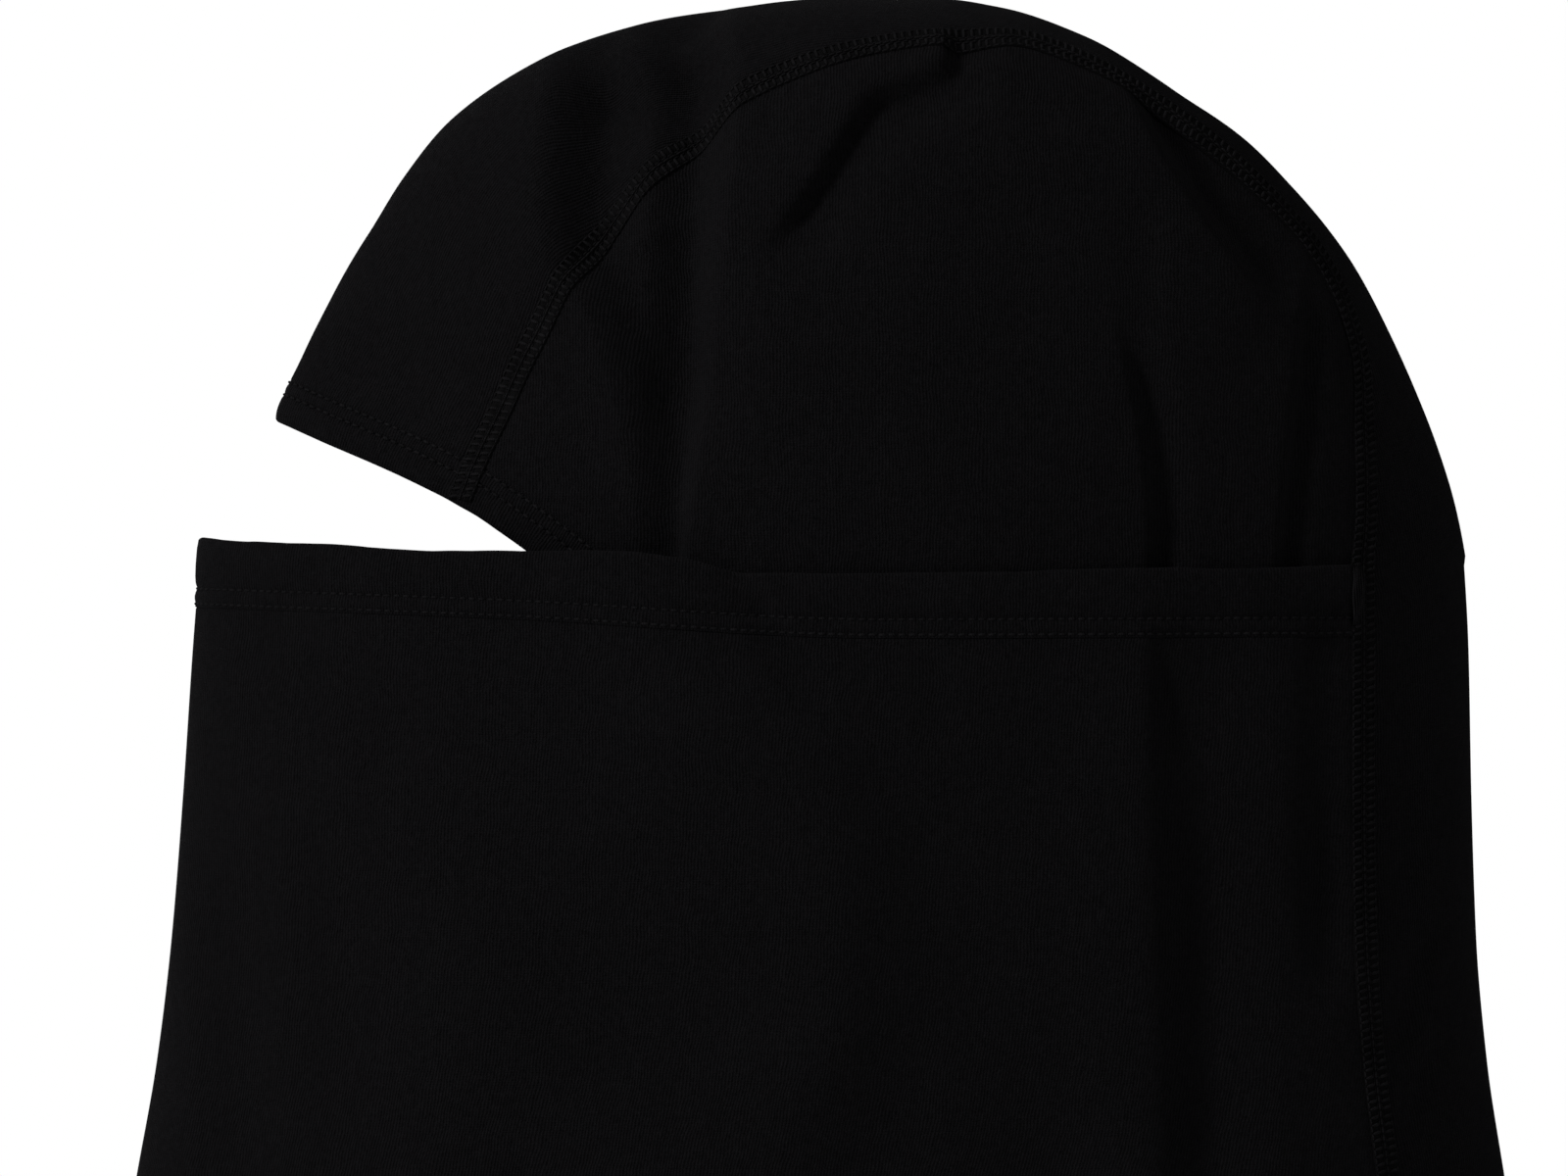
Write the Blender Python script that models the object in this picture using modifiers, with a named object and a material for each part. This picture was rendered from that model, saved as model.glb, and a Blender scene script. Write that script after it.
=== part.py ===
"""Hinged ski balaclava: a three-piece hood with a centre strip, and a face mask and neck tube that overlaps the hood.

Metres, +Z up, face towards -Y, wearer's left towards +X, the YZ plane is the plane of symmetry.
The origin is on the inside of the crown, where the top of the head touches it.
"""

import math

import bmesh
import bpy
import mathutils
import numpy as np

MM = 0.001

# ---- driving dimensions (millimetres) ----
CLOTH = 1.4  # thickness of one layer of brushed knit
GAP = 0.3  # clearance between neighbouring pieces
HEM = 2.2  # thickness of a turned hem
BRIM_HEM_WIDTH = 9.0
MASK_HEM_WIDTH = 14.0
BOTTOM_HEM_WIDTH = 17.0
ROW_PITCH = 3.1  # distance between the two needle rows of a coverstitch
THREAD_R = 0.35
FLATLOCK_WIDTH = 5.3
FLATLOCK_THICK = 0.6

HUB_Y, HUB_Z = -8.0, -112.0  # over the ear: the hood's sections fan out from here
PER_DEGREE = 119.0 * math.pi / 180  # below the hub, this much drop counts as a degree
HOOD_HALF = 48.0  # half width of the hood at the ear
NECK_HALF = 50.5  # half width of the mask at the ear

FOLD_Y, FOLD_Z = 97.0, -118.0  # axis through the mask's rear corners, on which the hood folds back
CROWN_END = 8.0  # direction from the hub, in degrees, where the folding stretch of the strip begins
SEAM_END_Z = -114.5  # the hood's flat seams stop here
SKIN_STEP_Z = -118.3  # below this the strip widens from the hood's section to the neck's
NAPE_TOP_Z = -150.3
NECK_SEAM_TOP_Z = -121.8
MASK_END_Z = -222.0  # below this the neck tube stays still when the mask is pulled down
BOTTOM_Z = -375.0

# Outline of the hood seen from the side, from the brow over the crown to the nape: y, z.
OUTLINE = [
    (-124.0, -84.5), (-118.0, -70.5), (-112.0, -58.5), (-105.0, -46.5), (-97.5, -34.5),
    (-87.5, -22.5), (-70.0, -10.8), (-50.0, -3.6), (-25.0, 0.4), (0.0, 1.5), (20.0, 0.4),
    (42.0, -6.8), (58.5, -16.5), (75.0, -28.5), (87.0, -40.5), (96.0, -52.5), (102.5, -64.5),
    (108.0, -76.5), (112.8, -88.5), (116.5, -100.0), (119.0, -112.0),
]
# Seam between the centre strip and the side panel: direction from the hub in degrees, distance.
SEAM = [
    (0.0, 105.0), (12.6, 108.0), (22.5, 112.6), (31.7, 114.3), (44.0, 112.6), (57.0, 111.8),
    (69.0, 111.0), (79.0, 106.4), (90.0, 101.5), (99.6, 97.0), (110.0, 92.5), (120.0, 87.6),
    (128.4, 83.0), (137.0, 78.5), (146.6, 76.0), (157.0, 75.4), (168.5, 77.2), (176.0, 79.5),
]
# How square the hood's section is in each direction: 2 is an ellipse.
SQUARENESS = [
    (-90.0, 2.33), (0.0, 2.33), (12.0, 2.6), (22.0, 3.0), (32.0, 3.4), (45.0, 4.0),
    (57.0, 4.4), (69.0, 4.2), (79.0, 3.8), (90.0, 3.5), (100.0, 3.0), (110.0, 2.6),
    (120.0, 2.25), (130.0, 2.0), (145.0, 1.85), (160.0, 1.75), (180.0, 1.75), (230.0, 1.75),
]
# Lower edge of the hood's brim, from the brow down the side and on under the mask: y, z.
BRIM = [
    (-124.0, -84.5), (-115.0, -88.5), (-101.0, -94.5), (-91.0, -99.2), (-84.0, -103.0),
    (-74.0, -109.8), (-61.0, -119.8), (-46.0, -132.5), (-28.0, -147.5),
]
# Bottom edge of the hood's side, hidden under the mask: y, z.
SKIRT = [(-28.0, -147.5), (8.0, -157.0), (48.0, -151.0), (80.0, -132.0), (96.2, -118.4)]
# Neck tube by height: front edge, back edge and seam in y, and half width.
NECK = [  # z, front y, back y, seam y, half width
    (-105.0, -138.6, 118.2, 97.0, 50.5), (-130.0, -140.6, 119.6, 97.0, 50.5),
    (-160.0, -142.6, 120.2, 97.0, 50.5), (-190.0, -145.0, 121.2, 97.4, 50.6),
    (-215.0, -148.0, 123.4, 99.2, 51.2), (-240.0, -152.4, 127.2, 102.2, 52.3),
    (-290.0, -160.5, 134.5, 107.8, 55.0), (-375.0, -172.0, 147.0, 117.0, 60.0),
]
# Top edge of the mask along its side: y, z.
MASK_TOP = [
    (-139.5, -108.5), (-108.0, -110.1), (-90.0, -111.0), (-74.0, -111.1), (-55.0, -110.7),
    (-40.0, -112.6), (-28.0, -115.6), (0.0, -115.4), (50.0, -114.6), (80.0, -114.4), (100.0, -113.6),
]

KNIT_COLOR = (0.013, 0.012, 0.014, 1.0)
THREAD_COLOR = (0.022, 0.021, 0.024, 1.0)


# ---- curves and surfaces ----
def smooth_through(points, x):
    """A smooth curve through the points, first column against the others, without overshoot."""
    points = np.array(sorted(points, key=lambda row: float(row[0])), float)
    xs, ys = points[:, 0], points[:, 1:]
    steps = np.diff(xs)
    slopes = np.diff(ys, axis=0) / steps[:, None]
    tangents = np.zeros_like(ys)
    tangents[0], tangents[-1] = slopes[0], slopes[-1]
    for k in range(1, len(xs) - 1):
        a, b = slopes[k - 1], slopes[k]
        wa, wb = 2 * steps[k] + steps[k - 1], steps[k] + 2 * steps[k - 1]
        with np.errstate(divide="ignore", invalid="ignore"):
            mean = (wa + wb) / (wa / a + wb / b)
        tangents[k] = np.where(a * b > 0, mean, 0.0)
    x = float(np.clip(x, xs[0], xs[-1]))
    k = min(int(np.searchsorted(xs, x, side="right")) - 1, len(xs) - 2)
    k = max(k, 0)
    h = steps[k]
    t = (x - xs[k]) / h
    value = (
        (2 * t**3 - 3 * t**2 + 1) * ys[k]
        + (t**3 - 2 * t**2 + t) * h * tangents[k]
        + (-2 * t**3 + 3 * t**2) * ys[k + 1]
        + (t**3 - t**2) * h * tangents[k + 1]
    )
    return float(value[0]) if len(value) == 1 else value


def path_through(points, count):
    """Evenly spaced points of a smooth path through the given ones."""
    points = np.array(points, float)
    along = np.concatenate([[0], np.cumsum(np.linalg.norm(np.diff(points, axis=0), axis=1))])
    table = np.column_stack([along, points])
    return np.array([smooth_through(table, s) for s in np.linspace(0, along[-1], count)])


OUTLINE_POLAR = sorted(
    (math.degrees(math.atan2(z - HUB_Z, y - HUB_Y)), math.hypot(y - HUB_Y, z - HUB_Z))
    for y, z in OUTLINE
) + [(180.0, 119.0), (230.0, 119.0)]


def neck_at(z):
    return smooth_through(NECK, z)


def hood_radius(a):
    if a < 0:
        return neck_at(HUB_Z + a * PER_DEGREE)[1] - HUB_Y
    return smooth_through(OUTLINE_POLAR, a)


def brow(a):
    t = min(max((a - 118.0) / 47.0, 0.0), 1.0)
    return t * t * (3 - 2 * t)


def hood_half(a, rho):
    """Half width of the hood in direction a, at the fraction rho of the way to the outline."""
    p = smooth_through(SQUARENESS, a)
    rho = min(max(rho, 0.0), 1.0)
    return HOOD_HALF * (1 - 0.35 * brow(a) * rho**2) * (1 - rho**p) ** (1 / p)


def hood_yz(a, rho):
    r = rho * hood_radius(a)
    if a > 180:
        return HUB_Y - r, HUB_Z - (a - 180) * PER_DEGREE
    if a < 0:
        return HUB_Y + r, HUB_Z + a * PER_DEGREE
    return HUB_Y + r * math.cos(math.radians(a)), HUB_Z + r * math.sin(math.radians(a))


def hood_direction(y, z):
    """Direction and fraction of the way to the outline, of a point seen from the side."""
    if z >= HUB_Z:
        a = math.degrees(math.atan2(z - HUB_Z, y - HUB_Y))
        return a, math.hypot(y - HUB_Y, z - HUB_Z) / hood_radius(a)
    drop = (HUB_Z - z) / PER_DEGREE
    a = -drop if y >= HUB_Y else 180 + drop
    return a, abs(y - HUB_Y) / hood_radius(a)


def hood_x(y, z):
    return hood_half(*hood_direction(y, z))


def hood_point(y, z):
    return hood_x(y, z), y, z


def seam_rho(a):
    if a < 0:
        return (neck_at(HUB_Z + a * PER_DEGREE)[2] - HUB_Y) / hood_radius(a)
    return smooth_through(SEAM, a) / hood_radius(a)


def strip_point(a, v):
    """Centre strip: v is 0 on the centre line and 1 on the seam."""
    p = smooth_through(SQUARENESS, a)
    edge = math.acos(min(seam_rho(a) ** (p / 2), 1.0))
    rho = math.cos(v * edge) ** (2 / p)
    x = HOOD_HALF * (1 - 0.35 * brow(a) * rho**2) * max(math.sin(v * edge), 0.0) ** (2 / p)
    y, z = hood_yz(a, rho)
    return x, y, z


def neck_squareness(z):
    t = min(max((-z - 200) / 170, 0.0), 1.0)
    return 1.8 + 0.15 * t, 2.4 - 0.2 * t


def neck_section(z):
    """Half of the neck's level section, from the front centre to the back centre, closely spaced."""
    front, back, _, half = neck_at(z)
    pf, pb = neck_squareness(z)
    t = np.linspace(0, math.pi / 2, 400)
    fy = HUB_Y - (HUB_Y - front) * np.cos(t) ** (2 / pf)
    fx = half * np.sin(t) ** (2 / pf)
    by = HUB_Y + (back - HUB_Y) * np.sin(t) ** (2 / pb)
    bx = half * np.cos(t) ** (2 / pb)
    return np.column_stack([np.concatenate([fx, bx[1:]]), np.concatenate([fy, by[1:]])])


def along_section(points, start, end, fraction):
    """The point at a fraction of the way, by length, between two rows of a section."""
    piece = points[start : end + 1]
    along = np.concatenate([[0], np.cumsum(np.linalg.norm(np.diff(piece, axis=0), axis=1))])
    s = fraction * along[-1]
    return np.array([np.interp(s, along, piece[:, 0]), np.interp(s, along, piece[:, 1])])


def front_point(q, z, short=0.0):
    """Mask and neck: q is 0 at the front centre and 1 at the back seam, ending short of it."""
    section = neck_section(z)
    seam = neck_at(z)[2] - short
    end = int(np.searchsorted(section[:, 1], seam))
    x, y = along_section(section, 0, end, q)
    return float(x), float(y), z


def nape_mix(z):
    t = min(max((SKIN_STEP_Z - z) / 22.0, 0.0), 1.0)
    return t * t * (3 - 2 * t)


def nape_point(v, z):
    """Lower centre strip: v is 0 on the centre line and 1 on the seam."""
    _, back, seam, half = neck_at(z)
    p = 2.33 + (neck_squareness(z)[1] - 2.33) * nape_mix(z)
    half = HOOD_HALF + (half - HOOD_HALF) * nape_mix(z)
    edge = math.acos(((seam - HUB_Y) / (back - HUB_Y)) ** (p / 2))
    rho = math.cos(v * edge) ** (2 / p)
    return half * max(math.sin(v * edge), 0.0) ** (2 / p), HUB_Y + (back - HUB_Y) * rho, z


def mask_top_z(y):
    return smooth_through(MASK_TOP, y)


# ---- building ----
def clear_scene():
    for obj in list(bpy.data.objects):
        bpy.data.objects.remove(obj, do_unlink=True)
    for block in (bpy.data.meshes, bpy.data.curves, bpy.data.materials):
        for item in list(block):
            block.remove(item)


clear_scene()
COLLECTION = bpy.data.collections.new("balaclava")
bpy.context.scene.collection.children.link(COLLECTION)
GUIDES = bpy.data.collections.new("guides")
bpy.context.scene.collection.children.link(GUIDES)
GUIDES.hide_render = True


def material(name, color, roughness):
    made = bpy.data.materials.new(name)
    made.use_nodes = True
    shader = made.node_tree.nodes["Principled BSDF"]
    shader.inputs["Base Color"].default_value = color
    shader.inputs["Roughness"].default_value = roughness
    made.diffuse_color = color
    return made


def pivot(name, y, z):
    empty = bpy.data.objects.new(name, None)
    empty.location = (0, y * MM, z * MM)
    GUIDES.objects.link(empty)
    return empty


HOOD_PIVOT = pivot("hood_fold_axis", FOLD_Y, FOLD_Z)
MASK_PIVOT = pivot("mask_axis", 95.0, -116.0)


def finish(obj, parent):
    COLLECTION.objects.link(obj)
    if parent is not None:
        obj.parent = parent
        obj.matrix_parent_inverse = parent.matrix_basis.inverted()
    return obj


def sheet(name, place, nu, nv, thick, color, mirror=False, lift=0.0, parent=None, inward=True):
    """A grid moved by place(u, v) to its surface, given a thickness, and mirrored if it crosses the centre."""
    bm = bmesh.new()
    bmesh.ops.create_grid(bm, x_segments=nu, y_segments=nv, size=1.0)
    for vert in bm.verts:
        u, v = (vert.co.x + 1) / 2, (vert.co.y + 1) / 2
        vert.co = [c * MM for c in place(round(u * nu) / nu, round(v * nv) / nv)]
    bm.normal_update()
    outward = 0.0
    for face in bm.faces:
        middle = face.calc_center_median()
        hub = (0.0, HUB_Y * MM, min(middle.z, HUB_Z * MM))
        outward += face.normal.dot(middle - mathutils.Vector(hub)) * face.calc_area()
    if outward < 0:
        bmesh.ops.reverse_faces(bm, faces=bm.faces)
    middle = [vert for vert in bm.verts if mirror and abs(vert.co.x) < 0.02 * MM]
    bm.normal_update()
    normals = {vert: vert.normal.copy() for vert in bm.verts}
    for vert in middle:
        vert.co.x = normals[vert].x = 0.0
        normals[vert].normalize()
    for vert in bm.verts:
        vert.co += normals[vert] * lift * MM
    mesh = bpy.data.meshes.new(name)
    bm.to_mesh(mesh)
    bm.free()
    for polygon in mesh.polygons:
        polygon.use_smooth = True
    obj = bpy.data.objects.new(name, mesh)
    obj.data.materials.append(material(name, color, 0.85))
    if mirror:
        both = obj.modifiers.new("both_sides", "MIRROR")
        both.use_axis = (True, False, False)
        both.use_clip = True
        both.merge_threshold = 0.00005
    solid = obj.modifiers.new("cloth_thickness", "SOLIDIFY")
    solid.thickness = thick * MM
    solid.offset = -1.0 if inward else 1.0
    solid.use_even_offset = True
    solid.use_quality_normals = True
    return finish(obj, parent)


def thread(name, points, parent=None, radius=THREAD_R, cyclic=False):
    """A run of thread as a thin tube."""
    curve = bpy.data.curves.new(name, "CURVE")
    curve.dimensions = "3D"
    curve.bevel_depth = radius * MM
    curve.bevel_resolution = 0
    curve.use_fill_caps = not cyclic
    curve.twist_mode = "MINIMUM"
    line = curve.splines.new("POLY")
    line.points.add(len(points) - 1)
    for point, place in zip(line.points, points):
        point.co = (place[0] * MM, place[1] * MM, place[2] * MM, 1.0)
    line.use_cyclic_u = cyclic
    line.use_smooth = True
    obj = bpy.data.objects.new(name, curve)
    obj.data.materials.append(material(name, THREAD_COLOR, 0.6))
    return finish(obj, parent)


def on_top(surface, u, v, height):
    """A point of surface(u, v) raised along its outward normal."""
    e = 0.004
    du = np.subtract(surface(u + e, v), surface(u - e, v))
    dv = np.subtract(surface(u, v + e), surface(u, v - e))
    normal = np.cross(du, dv)
    normal /= np.linalg.norm(normal)
    centre = np.array(surface(u, v))
    if np.dot(normal, centre - np.array([0.0, HUB_Y, centre[2]])) < 0:
        normal = -normal
    return centre + normal * height


# ---- the hood's brim ----
BRIM_PATH = path_through(BRIM, 81)
BRIM_TANGENT = np.gradient(BRIM_PATH, axis=0)
BRIM_TANGENT /= np.linalg.norm(BRIM_TANGENT, axis=1)[:, None]
BRIM_NORMAL = np.column_stack([-BRIM_TANGENT[:, 1], BRIM_TANGENT[:, 0]])


def brim_point(t, w):
    """t is 0 at the brow's centre and 1 at the hidden end, w is the distance in from the edge."""
    s = min(max(abs(t), 0.0), 1.0) * (len(BRIM_PATH) - 1)
    k = min(int(s), len(BRIM_PATH) - 2)
    f = s - k
    at = BRIM_PATH[k] * (1 - f) + BRIM_PATH[k + 1] * f
    normal = BRIM_NORMAL[k] * (1 - f) + BRIM_NORMAL[k + 1] * f
    y, z = at + normal * w
    a, rho = hood_direction(y, z)
    if abs(t) < 1e-6:
        y, z = hood_yz(a, 1.0)
        return 0.0, y, z
    if rho > 1:
        y, z = hood_yz(a, 1.0)
        return 0.0, y, z
    # Near the brow the cloth turns square to the centre line, so the width opens with a round nose.
    return math.copysign(hood_half(a, rho), t), y, z


def brim_spacing(u):
    """Closer together at the brow, where the hem turns sharply."""
    return u**1.5


def brim_line(w):
    """Direction, and place across the strip, of a line along the brim."""
    found = []
    for u in np.linspace(0, 1, 161):
        x, y, z = brim_point(brim_spacing(u), w)
        a, rho = hood_direction(y, z)
        if a < 0 or a > 179.5:
            break
        p = smooth_through(SQUARENESS, a)
        angle = math.acos(min(rho ** (p / 2), 1.0))
        edge = math.acos(min(seam_rho(a) ** (p / 2), 1.0))
        found.append((angle / edge, a, u, y, z))
    return np.array(found)


INNER = brim_line(BRIM_HEM_WIDTH + GAP)
CORNER = [np.interp(1.0, INNER[:, 0], INNER[:, k]) for k in range(5)]


def crown_place(u, v):
    """u runs from the nape to the brim hem, v from the centre line to the seam."""
    start = CROWN_END
    end = float(np.interp(v, INNER[:, 0], INNER[:, 1]))
    return strip_point(start + (end - start) * u, v)


def fold_place(u, v):
    """The stretch of the strip that folds, from the crown's end down to the nape."""
    start, end = CROWN_END - 0.15, (NAPE_TOP_Z + GAP - HUB_Z) / PER_DEGREE
    a = start + (end - start) * u
    z = HUB_Z + a * PER_DEGREE
    return strip_point(a, 0.985 * v) if z > SKIN_STEP_Z else nape_point(0.985 * v, z)


def side_boundaries():
    """Four edges of the side panel in y, z: seam over the crown, seam down the back, brim, bottom."""
    inset = 0.8
    split = 40.0
    corner_a, corner_u = CORNER[1], CORNER[2]

    def seam_yz(a):
        rho = seam_rho(a) - inset / hood_radius(a)
        return hood_yz(a, rho)

    low = (SKIRT[-1][1] - HUB_Z) / PER_DEGREE
    top = np.array([seam_yz(a) for a in np.linspace(corner_a, split, 121)])
    back = np.array([seam_yz(a) for a in np.linspace(split, low, 121)])
    front = np.array(
        [brim_point(brim_spacing(u), BRIM_HEM_WIDTH + GAP)[1:] for u in np.linspace(corner_u, 1.0, 121)]
    )
    front[0] = top[0]
    skirt = path_through([tuple(front[-1])] + SKIRT[1:-1] + [tuple(back[-1])], 121)
    return top, back, front, skirt


TOP, BACK, FRONT, BOTTOM = side_boundaries()


def at(line, f):
    along = np.concatenate([[0], np.cumsum(np.linalg.norm(np.diff(line, axis=0), axis=1))])
    s = f * along[-1]
    return np.array([np.interp(s, along, line[:, 0]), np.interp(s, along, line[:, 1])])


def side_place(u, v):
    """Blend of the four edges: u runs from brim to back, v from the seam to the bottom."""
    corners = TOP[0], TOP[-1], FRONT[-1], BACK[-1]
    yz = (
        (1 - v) * at(TOP, u) + v * at(BOTTOM, u) + (1 - u) * at(FRONT, v) + u * at(BACK, v)
        - (1 - u) * (1 - v) * corners[0] - u * (1 - v) * corners[1]
        - (1 - u) * v * corners[2] - u * v * corners[3]
    )
    return hood_point(float(yz[0]), float(yz[1]))


def other_side(place):
    def mirrored(u, v):
        x, y, z = place(u, v)
        return -x, y, z

    return mirrored


sheet("crown_panel", crown_place, 40, 5, CLOTH, KNIT_COLOR, mirror=True, parent=HOOD_PIVOT)
sheet("fold_panel", fold_place, 10, 4, CLOTH, KNIT_COLOR, mirror=True)
sheet("hood_side_left", side_place, 18, 12, CLOTH, KNIT_COLOR, parent=HOOD_PIVOT)
sheet("hood_side_right", other_side(side_place), 18, 12, CLOTH, KNIT_COLOR, parent=HOOD_PIVOT)


def brim_place(u, v):
    x, y, z = brim_point(brim_spacing(u), v * BRIM_HEM_WIDTH)
    return abs(x), y, z


sheet("brim_hem", brim_place, 26, 2, HEM, KNIT_COLOR, mirror=True, parent=HOOD_PIVOT)


# ---- mask and neck ----
def hem_short(drop):
    """How far the mask's hem ends before the seam: slanted, so that it clears the flat seam when pulled down."""
    return 2.95 + max(drop - 1.5, 0.0) * 0.43


def mask_hem_place(u, v):
    short = hem_short(v * MASK_HEM_WIDTH)
    y = front_point(u, -115.0, short=short)[1]
    z = mask_top_z(y) - v * MASK_HEM_WIDTH
    return front_point(u, z, short=short)


def mask_place(u, v):
    y = front_point(u, -115.0, short=0.5)[1]
    top = mask_top_z(y) - MASK_HEM_WIDTH - GAP
    return front_point(u, top + (MASK_END_Z - top) * v, short=0.5)


def neck_place(u, v):
    top, low = MASK_END_Z - GAP, BOTTOM_Z + BOTTOM_HEM_WIDTH + GAP
    return front_point(u, top + (low - top) * v, short=0.5)


def nape_place(u, v):
    low = BOTTOM_Z + BOTTOM_HEM_WIDTH + GAP
    x, y, z = nape_point(v * 0.985, NAPE_TOP_Z + (low - NAPE_TOP_Z) * u)
    return x, y, z


def hem_place(u, v):
    z = BOTTOM_Z + BOTTOM_HEM_WIDTH * (1 - v)
    section = neck_section(z)
    x, y = along_section(section, 0, len(section) - 1, u)
    return float(x), float(y), z


sheet("mask_top_hem", mask_hem_place, 28, 2, HEM, KNIT_COLOR, mirror=True, lift=0.8, parent=MASK_PIVOT)
sheet("mask_panel", mask_place, 26, 7, CLOTH, KNIT_COLOR, mirror=True)
sheet("neck_panel", neck_place, 26, 8, CLOTH, KNIT_COLOR, mirror=True)
sheet("nape_panel", nape_place, 12, 4, CLOTH, KNIT_COLOR, mirror=True)
sheet("bottom_hem", hem_place, 34, 2, HEM, KNIT_COLOR, mirror=True)


# ---- flat seams ----
def across(centre, other, width):
    """A point moved sideways from the seam towards another one of the same cloth."""
    step = np.subtract(other, centre)
    return np.add(centre, step * (width / np.linalg.norm(step)))


def hood_flatlock(u, v):
    start, end = (SEAM_END_Z - HUB_Z) / PER_DEGREE, CORNER[1] - 0.3
    a = start + (end - start) * u
    centre = np.array(strip_point(a, 1.0))
    if v <= 0.5:
        other = np.array(strip_point(a, 0.86))
    else:
        rho = seam_rho(a) * 0.965
        y, z = hood_yz(a, rho)
        other = np.array(hood_point(y, z))
    return across(centre, other, abs(v - 0.5) * FLATLOCK_WIDTH)


def neck_flatlock(u, v):
    z = NECK_SEAM_TOP_Z + (BOTTOM_Z + BOTTOM_HEM_WIDTH + GAP - NECK_SEAM_TOP_Z) * u
    centre = np.array(front_point(1.0, z))
    if v <= 0.5:
        other = np.array(front_point(0.985, z))
    else:
        section = neck_section(z)
        end = int(np.searchsorted(section[:, 1], neck_at(z)[2] + 6))
        other = np.array([section[end][0], section[end][1], z])
    return across(centre, other, abs(v - 0.5) * FLATLOCK_WIDTH)


for side, turn in (("left", False), ("right", True)):
    upper = other_side(hood_flatlock) if turn else hood_flatlock
    lower = other_side(neck_flatlock) if turn else neck_flatlock
    sheet(f"flatlock_hood_{side}", upper, 52, 2, FLATLOCK_THICK, THREAD_COLOR, lift=GAP, parent=HOOD_PIVOT, inward=False)
    sheet(f"flatlock_neck_{side}", lower, 26, 2, FLATLOCK_THICK, THREAD_COLOR, lift=GAP, inward=False)


# ---- coverstitch rows ----
def both_ways(half):
    """A path from the centre to the left, carried on to the right."""
    mirrored = [(-p[0], p[1], p[2]) for p in half[:0:-1]]
    return mirrored + [tuple(p) for p in half]


RAISE = GAP + THREAD_R


def brim_row(w):
    half = []
    for u in np.linspace(0, 1, 25):
        t = max(brim_spacing(u) * 0.985, 0.0)
        if u == 0:
            x, y, z = brim_point(0, w)
            a, _ = hood_direction(y, z)
            r = hood_radius(a) + RAISE
            half.append((0.0, HUB_Y + r * math.cos(math.radians(a)), HUB_Z + r * math.sin(math.radians(a))))
        else:
            half.append(tuple(on_top(brim_point, max(t, 0.012), w, RAISE)))
    return half


thread("brim_stitch_outer", both_ways(brim_row(5.9)), HOOD_PIVOT)
thread("brim_stitch_inner", both_ways(brim_row(8.6)), HOOD_PIVOT)


def mask_row(drop):
    half = []
    for u in np.linspace(0, 0.992, 31):
        y = front_point(u, -115.0, short=2.95)[1]
        z = smooth_through([(-139.5, -108.6), (-74.0, -111.0), (0.0, -114.8), (100.0, -114.4)], y) - drop

        def surface(q, w):
            return front_point(max(q, 0.0), z + w, short=hem_short(drop))

        if u == 0:
            x, y, z = front_point(0, z)
            half.append((0.0, y - 0.8 - RAISE, z))
        else:
            half.append(tuple(on_top(surface, max(u, 0.008), 0.0, 0.8 + RAISE)))
    return half


thread("mask_stitch_upper", both_ways(mask_row(10.0)), MASK_PIVOT)
thread("mask_stitch_lower", both_ways(mask_row(10.0 + ROW_PITCH)), MASK_PIVOT)


def bottom_row(height):
    z = BOTTOM_Z + height
    section = neck_section(z)
    half = []
    for u in np.linspace(0, 1, 33):
        x, y = along_section(section, 0, len(section) - 1, u)
        x2, y2 = along_section(section, 0, len(section) - 1, min(u + 0.004, 1.0))
        x1, y1 = along_section(section, 0, len(section) - 1, max(u - 0.004, 0.0))
        normal = np.array([y2 - y1, -(x2 - x1)])
        normal /= np.linalg.norm(normal)
        if u in (0, 1):
            normal = np.array([0.0, -1.0 if u == 0 else 1.0])
        half.append((x + normal[0] * RAISE, y + normal[1] * RAISE, z))
    return half


def ring(half):
    """A closed run of thread from its left half, which starts and ends on the centre line."""
    return [tuple(p) for p in half] + [(-p[0], p[1], p[2]) for p in half[-2:0:-1]]


thread("hem_stitch_upper", ring(bottom_row(15.5)), cyclic=True)
thread("hem_stitch_lower", ring(bottom_row(15.5 - ROW_PITCH)), cyclic=True)


# ---- tacks where the mask's hem meets the back seams ----
def tack(name, turn):
    def place(u, v):
        z = -114.6 - 7.0 * u
        centre = np.array(front_point(1.0, z))
        other = np.array(front_point(0.985, z))
        x, y, z = across(centre, other, (0.5 - v) * 2.4)
        return (-x, y, z) if turn else (x, y, z)

    sheet(name, place, 4, 2, 0.7, THREAD_COLOR, lift=GAP + FLATLOCK_THICK + GAP, inward=False)


tack("corner_tack_left", False)
tack("corner_tack_right", True)
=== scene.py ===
"""Looks of the hinged ski balaclava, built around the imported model.

Lengths below are in millimetres, turned to metres when a mesh is made. +Z up, face towards -Y, wearer's left +X.
The garment is black brushed knit: a hood of a centre strip and two sides, and a face mask and neck tube around it.
"""

import math

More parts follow.
